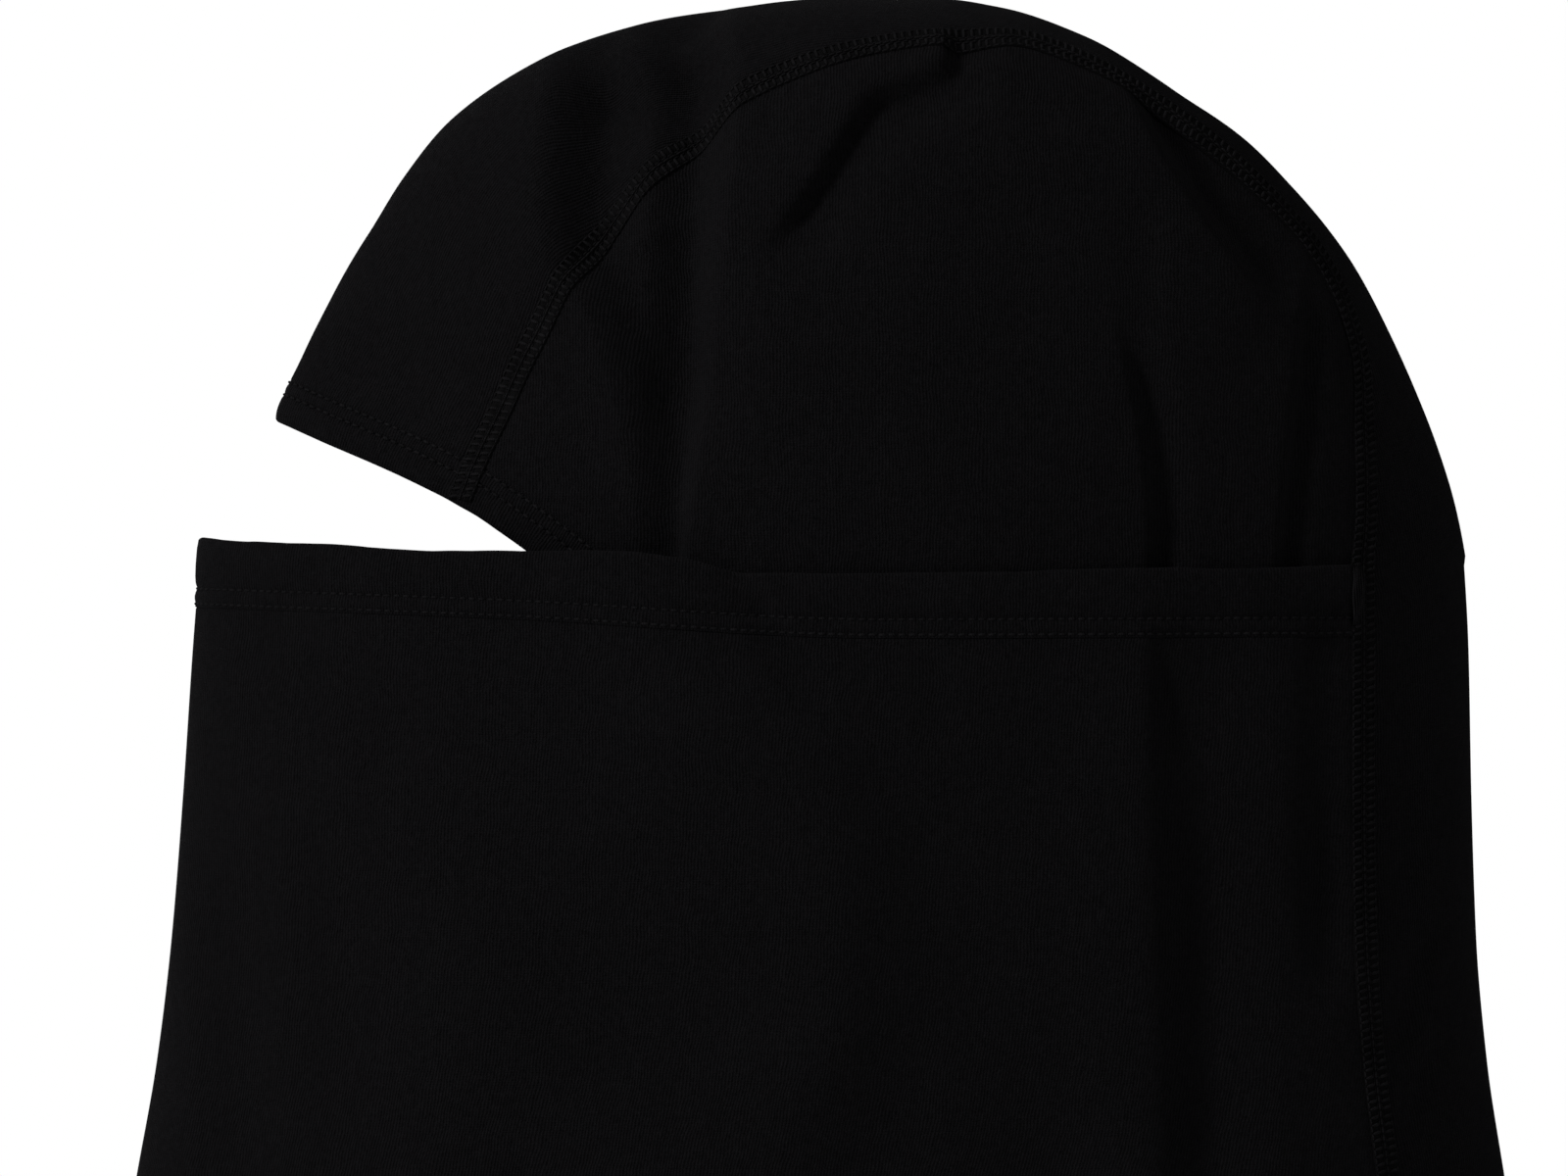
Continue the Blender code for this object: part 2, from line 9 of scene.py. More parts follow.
import bpy
import numpy as np
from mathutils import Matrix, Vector


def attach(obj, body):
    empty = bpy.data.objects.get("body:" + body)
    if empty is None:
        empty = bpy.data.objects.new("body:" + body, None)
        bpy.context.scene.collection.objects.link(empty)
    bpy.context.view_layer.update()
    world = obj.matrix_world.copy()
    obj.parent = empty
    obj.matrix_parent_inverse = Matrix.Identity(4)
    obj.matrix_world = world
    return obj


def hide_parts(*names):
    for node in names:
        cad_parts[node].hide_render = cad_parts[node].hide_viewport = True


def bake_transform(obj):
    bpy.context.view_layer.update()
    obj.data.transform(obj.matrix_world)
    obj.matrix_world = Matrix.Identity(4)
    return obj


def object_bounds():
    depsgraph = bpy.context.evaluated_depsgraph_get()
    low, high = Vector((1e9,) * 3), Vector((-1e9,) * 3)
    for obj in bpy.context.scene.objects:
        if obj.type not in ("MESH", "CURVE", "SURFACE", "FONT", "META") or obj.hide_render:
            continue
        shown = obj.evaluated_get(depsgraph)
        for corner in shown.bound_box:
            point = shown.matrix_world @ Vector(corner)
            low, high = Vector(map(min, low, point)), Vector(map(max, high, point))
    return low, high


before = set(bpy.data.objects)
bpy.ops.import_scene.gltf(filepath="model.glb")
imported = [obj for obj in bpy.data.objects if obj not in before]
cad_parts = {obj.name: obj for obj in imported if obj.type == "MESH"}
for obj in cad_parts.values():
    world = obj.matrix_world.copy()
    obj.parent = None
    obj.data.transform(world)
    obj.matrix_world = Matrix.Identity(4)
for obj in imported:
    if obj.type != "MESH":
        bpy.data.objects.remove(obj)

CAD_LOW, CAD_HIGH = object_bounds()
MM = 0.001

# ---- dimensions, as in part.py (millimetres) ----
CLOTH = 1.4
BRIM_HEM_WIDTH = 9.0
MASK_HEM_WIDTH = 14.0
BOTTOM_HEM_WIDTH = 17.0
ROW_PITCH = 3.1
FLATLOCK_WIDTH = 5.3
STITCH_PITCH = 2.0
RUNG_PITCH = 1.6
WALE, COURSE = 0.656, 0.5

HUB_Y, HUB_Z = -8.0, -112.0
PER_DEGREE = 119.0 * math.pi / 180
HOOD_HALF = 48.0
SKIN_STEP_Z = -118.3
BOTTOM_Z = -375.0

OUTLINE = [
    (-124.0, -84.5), (-118.0, -70.5), (-112.0, -58.5), (-105.0, -46.5), (-97.5, -34.5),
    (-87.5, -22.5), (-70.0, -10.8), (-50.0, -3.6), (-25.0, 0.4), (0.0, 1.5), (20.0, 0.4),
    (42.0, -6.8), (58.5, -16.5), (75.0, -28.5), (87.0, -40.5), (96.0, -52.5), (102.5, -64.5),
    (108.0, -76.5), (112.8, -88.5), (116.5, -100.0), (119.0, -112.0),
]
SEAM = [
    (0.0, 105.0), (12.6, 108.0), (22.5, 112.6), (31.7, 114.3), (44.0, 112.6), (57.0, 111.8),
    (69.0, 111.0), (79.0, 106.4), (90.0, 101.5), (99.6, 97.0), (110.0, 92.5), (120.0, 87.6),
    (128.4, 83.0), (137.0, 78.5), (146.6, 76.0), (157.0, 75.4), (168.5, 77.2), (176.0, 79.5),
]
SQUARENESS = [
    (-90.0, 2.33), (0.0, 2.33), (12.0, 2.6), (22.0, 3.0), (32.0, 3.4), (45.0, 4.0),
    (57.0, 4.4), (69.0, 4.2), (79.0, 3.8), (90.0, 3.5), (100.0, 3.0), (110.0, 2.6),
    (120.0, 2.25), (130.0, 2.0), (145.0, 1.85), (160.0, 1.75), (180.0, 1.75), (230.0, 1.75),
]
BRIM = [
    (-124.0, -84.5), (-115.0, -88.5), (-101.0, -94.5), (-91.0, -99.2), (-84.0, -103.0),
    (-74.0, -109.8), (-61.0, -119.8), (-46.0, -132.5), (-28.0, -147.5),
]
SKIRT = [(-28.0, -147.5), (8.0, -157.0), (48.0, -151.0), (80.0, -132.0), (96.2, -118.4)]
NECK = [  # z, front y, back y, seam y, half width
    (-105.0, -138.6, 118.2, 97.0, 50.5), (-130.0, -140.6, 119.6, 97.0, 50.5),
    (-160.0, -142.6, 120.2, 97.0, 50.5), (-190.0, -145.0, 121.2, 97.4, 50.6),
    (-215.0, -148.0, 123.4, 99.2, 51.2), (-240.0, -152.4, 127.2, 102.2, 52.3),
    (-290.0, -160.5, 134.5, 107.8, 55.0), (-375.0, -172.0, 147.0, 117.0, 60.0),
]
MASK_TOP = [
    (-139.5, -108.5), (-108.0, -110.1), (-90.0, -111.0), (-74.0, -111.1), (-55.0, -110.7),
    (-40.0, -112.6), (-28.0, -115.6), (0.0, -115.4), (50.0, -114.6), (80.0, -114.4), (100.0, -113.6),
]
MASK_ROW_LINE = [(-139.5, -108.6), (-74.0, -111.0), (0.0, -114.8), (100.0, -114.4)]


# ---- curves and surfaces, for whole arrays of points at once ----
class Through:
    """A smooth curve through the points, first column against the others, without overshoot."""

    def __init__(self, points):
        rows = np.array(sorted(points, key=lambda row: float(row[0])), float)
        self.x, self.y = rows[:, 0], rows[:, 1:]
        self.h = np.diff(self.x)
        slopes = np.diff(self.y, axis=0) / self.h[:, None]
        self.t = np.zeros_like(self.y)
        self.t[0], self.t[-1] = slopes[0], slopes[-1]
        for k in range(1, len(self.x) - 1):
            a, b = slopes[k - 1], slopes[k]
            wa, wb = 2 * self.h[k] + self.h[k - 1], self.h[k] + 2 * self.h[k - 1]
            with np.errstate(divide="ignore", invalid="ignore"):
                mean = (wa + wb) / (wa / a + wb / b)
            self.t[k] = np.where(a * b > 0, mean, 0.0)

    def __call__(self, x):
        x = np.clip(np.asarray(x, float), self.x[0], self.x[-1])
        k = np.clip(np.searchsorted(self.x, x, side="right") - 1, 0, len(self.x) - 2)
        h = self.h[k][..., None]
        t = ((x - self.x[k]) / self.h[k])[..., None]
        out = (
            (2 * t**3 - 3 * t**2 + 1) * self.y[k]
            + (t**3 - 2 * t**2 + t) * h * self.t[k]
            + (-2 * t**3 + 3 * t**2) * self.y[k + 1]
            + (t**3 - t**2) * h * self.t[k + 1]
        )
        return out[..., 0] if out.shape[-1] == 1 else out


def lengths(points):
    return np.concatenate([[0.0], np.cumsum(np.linalg.norm(np.diff(points, axis=0), axis=1))])


def resampled(points, count):
    """Evenly spaced points along the polyline."""
    points = np.asarray(points, float)
    along = lengths(points)
    s = np.linspace(0, along[-1], count)
    return np.column_stack([np.interp(s, along, points[:, k]) for k in range(points.shape[1])])


def path_through(points, count):
    points = np.array(points, float)
    along = lengths(points)
    curve = Through(np.column_stack([along, points]))
    return curve(np.linspace(0, along[-1], count))


def ease(t):
    t = np.clip(t, 0.0, 1.0)
    return t * t * (3 - 2 * t)


def bump(d, half):
    """1 on the line, falling smoothly to 0 at this distance."""
    return ease(1 - np.abs(d) / half)


neck_at = Through(NECK)
outline_at = Through(
    sorted(
        (math.degrees(math.atan2(z - HUB_Z, y - HUB_Y)), math.hypot(y - HUB_Y, z - HUB_Z)) for y, z in OUTLINE
    )
    + [(180.0, 119.0), (230.0, 119.0)]
)
seam_at = Through(SEAM)
squareness = Through(SQUARENESS)
mask_top_z = Through(MASK_TOP)
mask_row_z = Through(MASK_ROW_LINE)


def hood_radius(a):
    a = np.asarray(a, float)
    return np.where(a < 0, neck_at(HUB_Z + a * PER_DEGREE)[..., 1] - HUB_Y, outline_at(np.maximum(a, 0)))


def brow(a):
    return ease((np.asarray(a, float) - 118.0) / 47.0)


def hood_half(a, rho):
    p = squareness(a)
    rho = np.clip(rho, 0.0, 1.0)
    return HOOD_HALF * (1 - 0.35 * brow(a) * rho**2) * (1 - rho**p) ** (1 / p)


def hood_yz(a, rho):
    a = np.asarray(a, float)
    r = rho * hood_radius(a)
    turn = np.radians(np.clip(a, 0, 180))
    y = HUB_Y + r * np.cos(turn)
    z = HUB_Z + r * np.sin(turn)
    z = np.where(a < 0, HUB_Z + a * PER_DEGREE, np.where(a > 180, HUB_Z - (a - 180) * PER_DEGREE, z))
    return y, z


def hood_direction(y, z):
    y, z = np.asarray(y, float), np.asarray(z, float)
    above = z >= HUB_Z
    drop = (HUB_Z - z) / PER_DEGREE
    a_up = np.degrees(np.arctan2(z - HUB_Z, y - HUB_Y))
    a = np.where(above, a_up, np.where(y >= HUB_Y, -drop, 180 + drop))
    r = np.where(above, np.hypot(y - HUB_Y, z - HUB_Z), np.abs(y - HUB_Y))
    return a, r / hood_radius(a)


def hood_x(y, z):
    return hood_half(*hood_direction(y, z))


def seam_rho(a):
    a = np.asarray(a, float)
    low = neck_at(HUB_Z + a * PER_DEGREE)[..., 2] - HUB_Y
    return np.where(a < 0, low, seam_at(np.maximum(a, 0))) / hood_radius(a)


def neck_squareness(z):
    t = np.clip((-np.asarray(z, float) - 200) / 170, 0.0, 1.0)
    return 1.8 + 0.15 * t, 2.4 - 0.2 * t


def nape_mix(z):
    return ease((SKIN_STEP_Z - np.asarray(z, float)) / 22.0)


def strip_point(a, v):
    """Centre strip: v is 0 on the centre line and 1 on the seam, -1 on the other seam. Below the hub, a is a drop."""
    a, v = np.broadcast_arrays(np.asarray(a, float), np.asarray(v, float))
    side, v = np.sign(v), np.abs(v)
    z_low = HUB_Z + a * PER_DEGREE
    mix = np.where(a < 0, nape_mix(z_low), 0.0)
    row = neck_at(z_low)
    p = squareness(a) + (neck_squareness(z_low)[1] - 2.33) * mix
    half = HOOD_HALF + (row[..., 3] - HOOD_HALF) * mix
    edge = np.arccos(np.minimum(seam_rho(a) ** (p / 2), 1.0))
    rho = np.cos(v * edge) ** (2 / p)
    x = half * (1 - 0.35 * brow(a) * rho**2) * np.maximum(np.sin(v * edge), 0.0) ** (2 / p)
    y, z = hood_yz(a, rho)
    return np.stack([side * x, y, z], axis=-1)


SECTION_Z = np.linspace(-100.0, -378.0, 140)
SECTION_S = np.arange(0.0, 400.0, 1.0)


def neck_table():
    """Level sections of the mask and neck by distance from the front centre, and how far the seam and back are."""
    table, seams, backs = [], [], []
    for z in SECTION_Z:
        front, back, seam, half = neck_at(z)
        pf, pb = neck_squareness(z)
        t = np.linspace(0, math.pi / 2, 400)
        fy = HUB_Y - (HUB_Y - front) * np.cos(t) ** (2 / pf)
        fx = half * np.sin(t) ** (2 / pf)
        by = HUB_Y + (back - HUB_Y) * np.sin(t) ** (2 / pb)
        bx = half * np.cos(t) ** (2 / pb)
        points = np.column_stack([np.concatenate([fx, bx[1:]]), np.concatenate([fy, by[1:]])])
        along = lengths(points)
        table.append(
            np.column_stack([np.interp(SECTION_S, along, points[:, 0]), np.interp(SECTION_S, along, points[:, 1])])
        )
        seams.append(np.interp(seam, points[:, 1], along))
        backs.append(along[-1])
    return np.array(table), np.array(seams), np.array(backs)


SECTIONS, SEAM_S, BACK_S = neck_table()


def seam_s(z):
    return np.interp(-np.asarray(z, float), -SECTION_Z, SEAM_S)


def back_s(z):
    return np.interp(-np.asarray(z, float), -SECTION_Z, BACK_S)


def neck_point(s, z):
    """The mask and neck at this distance from the front centre, round to the wearer's left if positive."""
    s, z = np.broadcast_arrays(np.asarray(s, float), np.asarray(z, float))
    side, s = np.sign(s), np.minimum(np.abs(s), back_s(z) - 1e-6)
    fz = np.clip((SECTION_Z[0] - z) / (SECTION_Z[0] - SECTION_Z[1]), 0, len(SECTION_Z) - 1.001)
    iz = fz.astype(int)
    fz = (fz - iz)[..., None]
    js = np.clip(s.astype(int), 0, len(SECTION_S) - 2)
    fs = (s - js)[..., None]
    low = SECTIONS[iz, js] * (1 - fs) + SECTIONS[iz, js + 1] * fs
    high = SECTIONS[iz + 1, js] * (1 - fs) + SECTIONS[iz + 1, js + 1] * fs
    xy = low * (1 - fz) + high * fz
    return np.stack([side * xy[..., 0], xy[..., 1], z], axis=-1)


# ---- the brim ----
BRIM_PATH = path_through(BRIM, 801)
BRIM_TANGENT = np.gradient(BRIM_PATH, axis=0)
BRIM_TANGENT /= np.linalg.norm(BRIM_TANGENT, axis=1)[:, None]
BRIM_NORMAL = np.column_stack([-BRIM_TANGENT[:, 1], BRIM_TANGENT[:, 0]])
BRIM_LENGTHS = lengths(BRIM_PATH)


def brim_distance(y, z):
    """How far in from the brim's edge a point of the hood is, seen from the side."""
    flat = np.column_stack([np.ravel(y), np.ravel(z)])
    path, normal = BRIM_PATH[::4], BRIM_NORMAL[::4]
    best = np.full(len(flat), 1e9)
    for k in range(0, len(flat), 4000):
        gap = flat[k : k + 4000, None, :] - path[None]
        far = (gap**2).sum(-1)
        j = far.argmin(1)
        rows = np.arange(len(j))
        best[k : k + 4000] = (gap[rows, j] * normal[j]).sum(-1)
    return best.reshape(np.shape(y))


def brim_curve(w, count=None):
    """One half of the line at this distance in from the edge: x, y, z, from the centre line to the hidden end."""
    t = np.linspace(0, 1, 4001) ** 1.5 * (len(BRIM_PATH) - 1)
    base = np.column_stack([np.interp(t, np.arange(len(BRIM_PATH)), BRIM_PATH[:, k]) for k in range(2)])
    normal = np.column_stack([np.interp(t, np.arange(len(BRIM_PATH)), BRIM_NORMAL[:, k]) for k in range(2)])
    y, z = (base + normal * w).T
    a, rho = hood_direction(y, z)
    x = hood_half(a, rho)
    outside = np.nonzero(rho >= 1)[0]
    first = int(outside.max()) + 1 if len(outside) else 1
    y0, z0 = hood_yz(a[0], 1.0)
    points = np.column_stack([x, y, z])[first:]
    points = np.vstack([[0.0, float(y0), float(z0)], points])
    return points if count is None else resampled(points, count)


def brim_line(w):
    """Across the strip: the place from centre line to seam, and the direction, along the line w in from the edge."""
    points = brim_curve(w, 400)
    a, rho = hood_direction(points[:, 1], points[:, 2])
    use = (a > 0) & (a < 179.5)
    a, rho = a[use], rho[use]
    p = squareness(a)
    angle = np.arccos(np.clip(rho ** (p / 2), -1, 1))
    edge = np.arccos(np.clip(seam_rho(a) ** (p / 2), -1, 1))
    return angle / edge, a, points[use]


def corner(w):
    """Where the seam meets the line w in from the edge: direction, y, z."""
    v, a, points = brim_line(w)
    return [float(np.interp(1.0, v, k)) for k in (a, points[:, 1], points[:, 2])]


# ---- relief: what a side view of the cloth shows ----
def soft_noise(u, v, size, seed):
    """Smooth noise from -1 to 1 with features of this size."""
    table = np.random.default_rng(seed).uniform(-1, 1, (64, 64))
    u, v = np.asarray(u, float) / size, np.asarray(v, float) / size
    iu, iv = np.floor(u).astype(int), np.floor(v).astype(int)
    fu, fv = u - iu, v - iv
    fu, fv = fu * fu * (3 - 2 * fu), fv * fv * (3 - 2 * fv)
    a, b = table[iu % 64, iv % 64], table[(iu + 1) % 64, iv % 64]
    c, d = table[iu % 64, (iv + 1) % 64], table[(iu + 1) % 64, (iv + 1) % 64]
    return (a * (1 - fu) + b * fu) * (1 - fv) + (c * (1 - fu) + d * fu) * fv


def crease(y, z, points, profile, fade=0.18, end_fade=None, reach=60.0):
    """profile(d, t) along a line seen from the side: d is the distance to its right going down, t from 0 to 1."""
    path = path_through(points, 60)
    tangent = np.gradient(path, axis=0)
    tangent /= np.linalg.norm(tangent, axis=1)[:, None]
    right = np.column_stack([-tangent[:, 1], tangent[:, 0]])  # going down, the right of the line is towards +y
    flat = np.column_stack([np.ravel(y), np.ravel(z)])
    low, high = path.min(0) - reach, path.max(0) + reach
    near = ((flat > low) & (flat < high)).all(1)
    out = np.zeros(len(flat))
    if near.any():
        gap = flat[near][:, None, :] - path[None]
        far = (gap**2).sum(-1)
        j = far.argmin(1)
        rows = np.arange(len(j))
        d = (gap[rows, j] * right[j]).sum(-1)
        along = (gap[rows, j] * tangent[j]).sum(-1)
        t = j / (len(path) - 1) + along / lengths(path)[-1]
        end_fade = fade if end_fade is None else end_fade
        held = ease(np.minimum(t + 0.5 * fade, 1) / fade) if fade else np.ones_like(t)
        held *= ease((1 - t + 0.5 * end_fade) / end_fade) if end_fade else 1.0
        out[near] = profile(d, np.clip(t, 0, 1)) * held
    return out.reshape(np.shape(y))


def trough(depth, left, right):
    """A valley with a wall on each side."""

    def profile(d, t):
        wide_l = left(t) if callable(left) else left
        wide_r = right(t) if callable(right) else right
        deep = depth(t) if callable(depth) else depth
        return -deep * ease(1 - np.where(d < 0, -d / wide_l, d / wide_r))

    return profile


def lap(up, left, down, right, drop=2.5):
    """A lobe on the left of the line that falls sharply to a hollow on its right."""

    def profile(d, t):
        deep = down(t) if callable(down) else down
        lobe = up * ease(1 - np.clip(-d, 0, None) / left)
        hollow = -deep * ease(1 - np.clip(d - drop, 0, None) / right)
        return lobe + (hollow - lobe) * ease((d + drop * 0.4) / (1.4 * drop))

    return profile


def ramp(a, b):
    return lambda t: a + (b - a) * t


def seam_distance(y, z):
    """How far inside the seam a point of the side panel is, roughly."""
    a, rho = hood_direction(y, z)
    return (seam_rho(a) - rho) * hood_radius(a)


def side_hold(y, z):
    """Relief dies out along the back seam, where the strip lies flat between hood and nape."""
    a, _ = hood_direction(y, z)
    return 1 - (1 - ease(np.abs(a) / 8.0) * (a > 0)) * ease(1 - seam_distance(y, z) / 12.0)


def hood_relief(x, y, z):
    """How far the hood's cloth stands out or in, along its normal."""
    vary = np.where(x < 0, 1.0, 0.0)
    y = y + vary * (2.5 * soft_noise(y, z, 60, 5))
    z = z + vary * (3.0 * soft_noise(y, z, 55, 6))
    h = crease(y, z, [(-63, -8), (-66.6, -25.7), (-66.6, -40.7), (-65, -52), (-59.2, -60.3), (-54.6, -72), (-49, -92)],
               lap(0.9, 14.0, ramp(11.0, 4.0), 26.0, 7.0), 0.2, 0.3)
    h += crease(y, z, [(-42.5, -1), (-39.5, -14), (-39.0, -26), (-40.0, -43), (-41.2, -72), (-42.2, -95), (-42.6, -112), (-42.6, -126)],
                trough(lambda t: 9.0 - 5.6 * ease(t / 0.75), ramp(12.0, 8.5), ramp(13.0, 2.6)), 0.2, 0.14)
    inside = seam_distance(y, z)
    h += crease(y, z, [(13, -6), (12, -13), (6, -16), (-2, -19), (-8, -27), (-15, -38), (-22, -47)],
                lap(1.3, 16.0, 2.4, 12.0), 0.16, 0.3) * ease((inside + 5) / 8)
    h += crease(y, z, [(18, -15.5), (27, -19), (36, -24.5)], trough(1.0, 6.0, 4.0), 0.3)
    h += crease(y, z, [(47.5, -11.5), (54, -26), (68, -48.5), (78, -61)],
                lap(0.9, 18.0, ramp(3.8, 2.4), 14.0, 4.5), 0.12, 0.25) * ease((inside + 1) / 5)
    h += crease(y, z, [(53, -40), (53, -54), (53, -68)], trough(0.7, 9.0, 5.0), 0.3)
    h += crease(y, z, [(47.5, -70), (51.0, -84), (53.6, -104), (53.6, -126)], lap(0.5, 20.0, 1.9, 8.0, 2.6), 0.3, 0.2)
    h += crease(y, z, [(84.6, -61), (82, -88), (79.6, -112), (79.4, -126)], lap(0.5, 14.0, 1.5, 5.5, 2.0), 0.4, 0.2)
    h += crease(y, z, [(-112, -66), (-92, -76), (-74, -80)], trough(0.9, 13.0, 13.0), 0.4)
    h += crease(y, z, [(2, -30), (4, -60), (8, -104)], trough(-0.8, 26.0, 26.0), 0.35)
    h += crease(y, z, [(-66, -30), (-78, -60), (-74, -92)], trough(-0.7, 24.0, 24.0), 0.35)
    h += 0.30 * soft_noise(y + 300, z, 21, 1) + 0.14 * soft_noise(y + 300, z, 8, 2)
    side = ease((np.abs(x) - 1.5) / 10.0)
    h = h * side
    # Under the mask the cloth lies flat.
    top = np.minimum(h, 0.6 + 2.0 * ease((z + 108) / 12))
    return np.where(z < -96, top, h)


def neck_relief(x, y, z):
    """How far the mask's and neck's cloth stands out or in."""
    vary = np.where(x < 0, 1.0, 0.0)
    y = y + vary * (3.0 * soft_noise(y, z, 60, 7))
    z = z + vary * (3.0 * soft_noise(y, z, 55, 8))
    h = crease(y, z, [(-30, -114), (-26, -121), (-14, -141)], trough(1.5, 7.0, 5.0), 0.1, 0.4)
    h += crease(y, z, [(-52, -118), (-33, -138), (-14, -152), (-6, -172), (-5, -200), (-20, -238)],
                lap(1.8, 28.0, 0.4, 18.0, 17.0), 0.3, 0.25)
    h += crease(y, z, [(54, -124), (55, -180), (57, -250)], lap(1.0, 22.0, 1.5, 16.0, 9.0), 0.25, 0.2)
    h += crease(y, z, [(56, -128), (57, -138), (59, -150)], trough(0.8, 4.0, 4.0), 0.3)
    h += crease(y, z, [(10, -133), (11, -141), (11, -150)], trough(0.7, 6.0, 6.0), 0.3)
    h += crease(y, z, [(92, -126), (91, -160), (92, -196)], trough(1.3, 10.0, 4.5), 0.15, 0.35)
    h += crease(y, z, [(-134, -122), (-116, -134), (-98, -148)], trough(1.4, 12.0, 14.0), 0.4)
    h += crease(y, z, [(-134, -174), (-132, -205), (-130, -242)], trough(1.0, 12.0, 14.0), 0.35)
    h += crease(y, z, [(-92, -150), (-84, -190), (-92, -250)], trough(-1.0, 30.0, 30.0), 0.35)
    h += crease(y, z, [(22, -170), (30, -230), (26, -300)], trough(0.9, 20.0, 20.0), 0.35)
    h += crease(y, z, [(-60, -250), (-50, -300), (-56, -356)], trough(1.1, 22.0, 22.0), 0.35)
    h += crease(y, z, [(76, -230), (84, -280), (82, -350)], trough(-0.9, 22.0, 22.0), 0.35)
    # Outward folds stand well clear of the body; inward ones deepen only below the hood's skirt.
    h = np.where(h > 0, h * (1 + 0.8 * ease((-130 - z) / 20)), h * (1 + 0.8 * ease((-158 - z) / 20)))
    h += 0.32 * soft_noise(y + 300, z, 24, 3) + 0.14 * soft_noise(y + 300, z, 9, 4)
    return h * ease((np.abs(x) - 2.0) / 18.0)


def nape_relief(x, y, z):
    h = crease(y, z, [(113, -186), (108, -195), (103, -211)], trough(1.0, 5.0, 5.0), 0.3)
    h += crease(y, z, [(113, -211), (109, -219), (106, -229)], trough(0.8, 5.0, 5.0), 0.3)
    h += 0.22 * soft_noise(y + 300, z, 18, 9)
    return h * ease((np.abs(x) - 1.0) / 12.0)


def outward(points, du, dv, hub=None):
    normal = np.cross(du, dv)
    size = np.linalg.norm(normal, axis=-1, keepdims=True)
    normal = normal / np.maximum(size, 1e-12)
    centre = np.stack(
        [np.zeros_like(points[..., 0]), np.full_like(points[..., 0], HUB_Y), np.minimum(points[..., 2], HUB_Z)], axis=-1
    )
    turn = (normal * (points - centre)).sum(-1, keepdims=True)
    return np.where(turn < 0, -normal, normal)


def grid_normals(points):
    du = np.gradient(points, axis=1)
    dv = np.gradient(points, axis=0)
    return outward(points, du, dv)


# ---- knit coordinates ----
def knit_tables():
    """Real distances along the hood's side, level from the hub and up from it, by the place seen from the side."""
    ys = np.arange(-140.0, 130.0, 1.0)
    zs = np.arange(-165.0, 4.0, 1.0)
    yy, zz = np.meshgrid(ys, zs, indexing="ij")
    x = hood_x(yy, zz)
    dy = np.minimum(np.abs(np.gradient(x, axis=0)), 3.0)
    dz = np.minimum(np.abs(np.gradient(x, axis=1)), 3.0)
    level = np.cumsum(np.sqrt(1 + dy**2), axis=0)
    up = np.cumsum(np.sqrt(1 + dz**2), axis=1)
    level -= level[int(HUB_Y - ys[0])][None]
    up -= up[:, int(HUB_Z - zs[0])][:, None]
    return ys, zs, level, up


KNIT_YS, KNIT_ZS, KNIT_LEVEL, KNIT_UP = knit_tables()


def knit_uv(y, z):
    fy = np.clip(y - KNIT_YS[0], 0, len(KNIT_YS) - 1.001)
    fz = np.clip(z - KNIT_ZS[0], 0, len(KNIT_ZS) - 1.001)
    iy, iz = fy.astype(int), fz.astype(int)
    fy, fz = fy - iy, fz - iz
    out = []
    for table in (KNIT_LEVEL, KNIT_UP):
        a = table[iy, iz] * (1 - fy) + table[iy + 1, iz] * fy
        b = table[iy, iz + 1] * (1 - fy) + table[iy + 1, iz + 1] * fy
        out.append(a * (1 - fz) + b * fz)
    return np.stack(out, axis=-1)


# ---- materials ----
def nodes_of(name):
    made = bpy.data.materials.new(name)
    made.use_nodes = True
    tree = made.node_tree
    shader = tree.nodes["Principled BSDF"]
    return made, tree, shader


def add(tree, kind, **inputs):
    node = tree.nodes.new(kind)
    for key, value in inputs.items():
        if key in ("operation", "blend_type", "data_type", "uv_map", "noise_dimensions", "clamp", "interpolation_type"):
            setattr(node, key, value)
        elif isinstance(value, bpy.types.NodeSocket):
            tree.links.new(value, node.inputs[int(key[1:])] if key[0] == "i" and key[1:].isdigit() else node.inputs[key])
        else:
            socket = node.inputs[int(key[1:])] if key[0] == "i" and key[1:].isdigit() else node.inputs[key]
            socket.default_value = value
    return node


def maths(tree, operation, a, b=None, c=None):
    inputs = {"operation": operation, "i0": a}
    if b is not None:
        inputs["i1"] = b
    if c is not None:
        inputs["i2"] = c
    return add(tree, "ShaderNodeMath", **inputs).outputs[0]


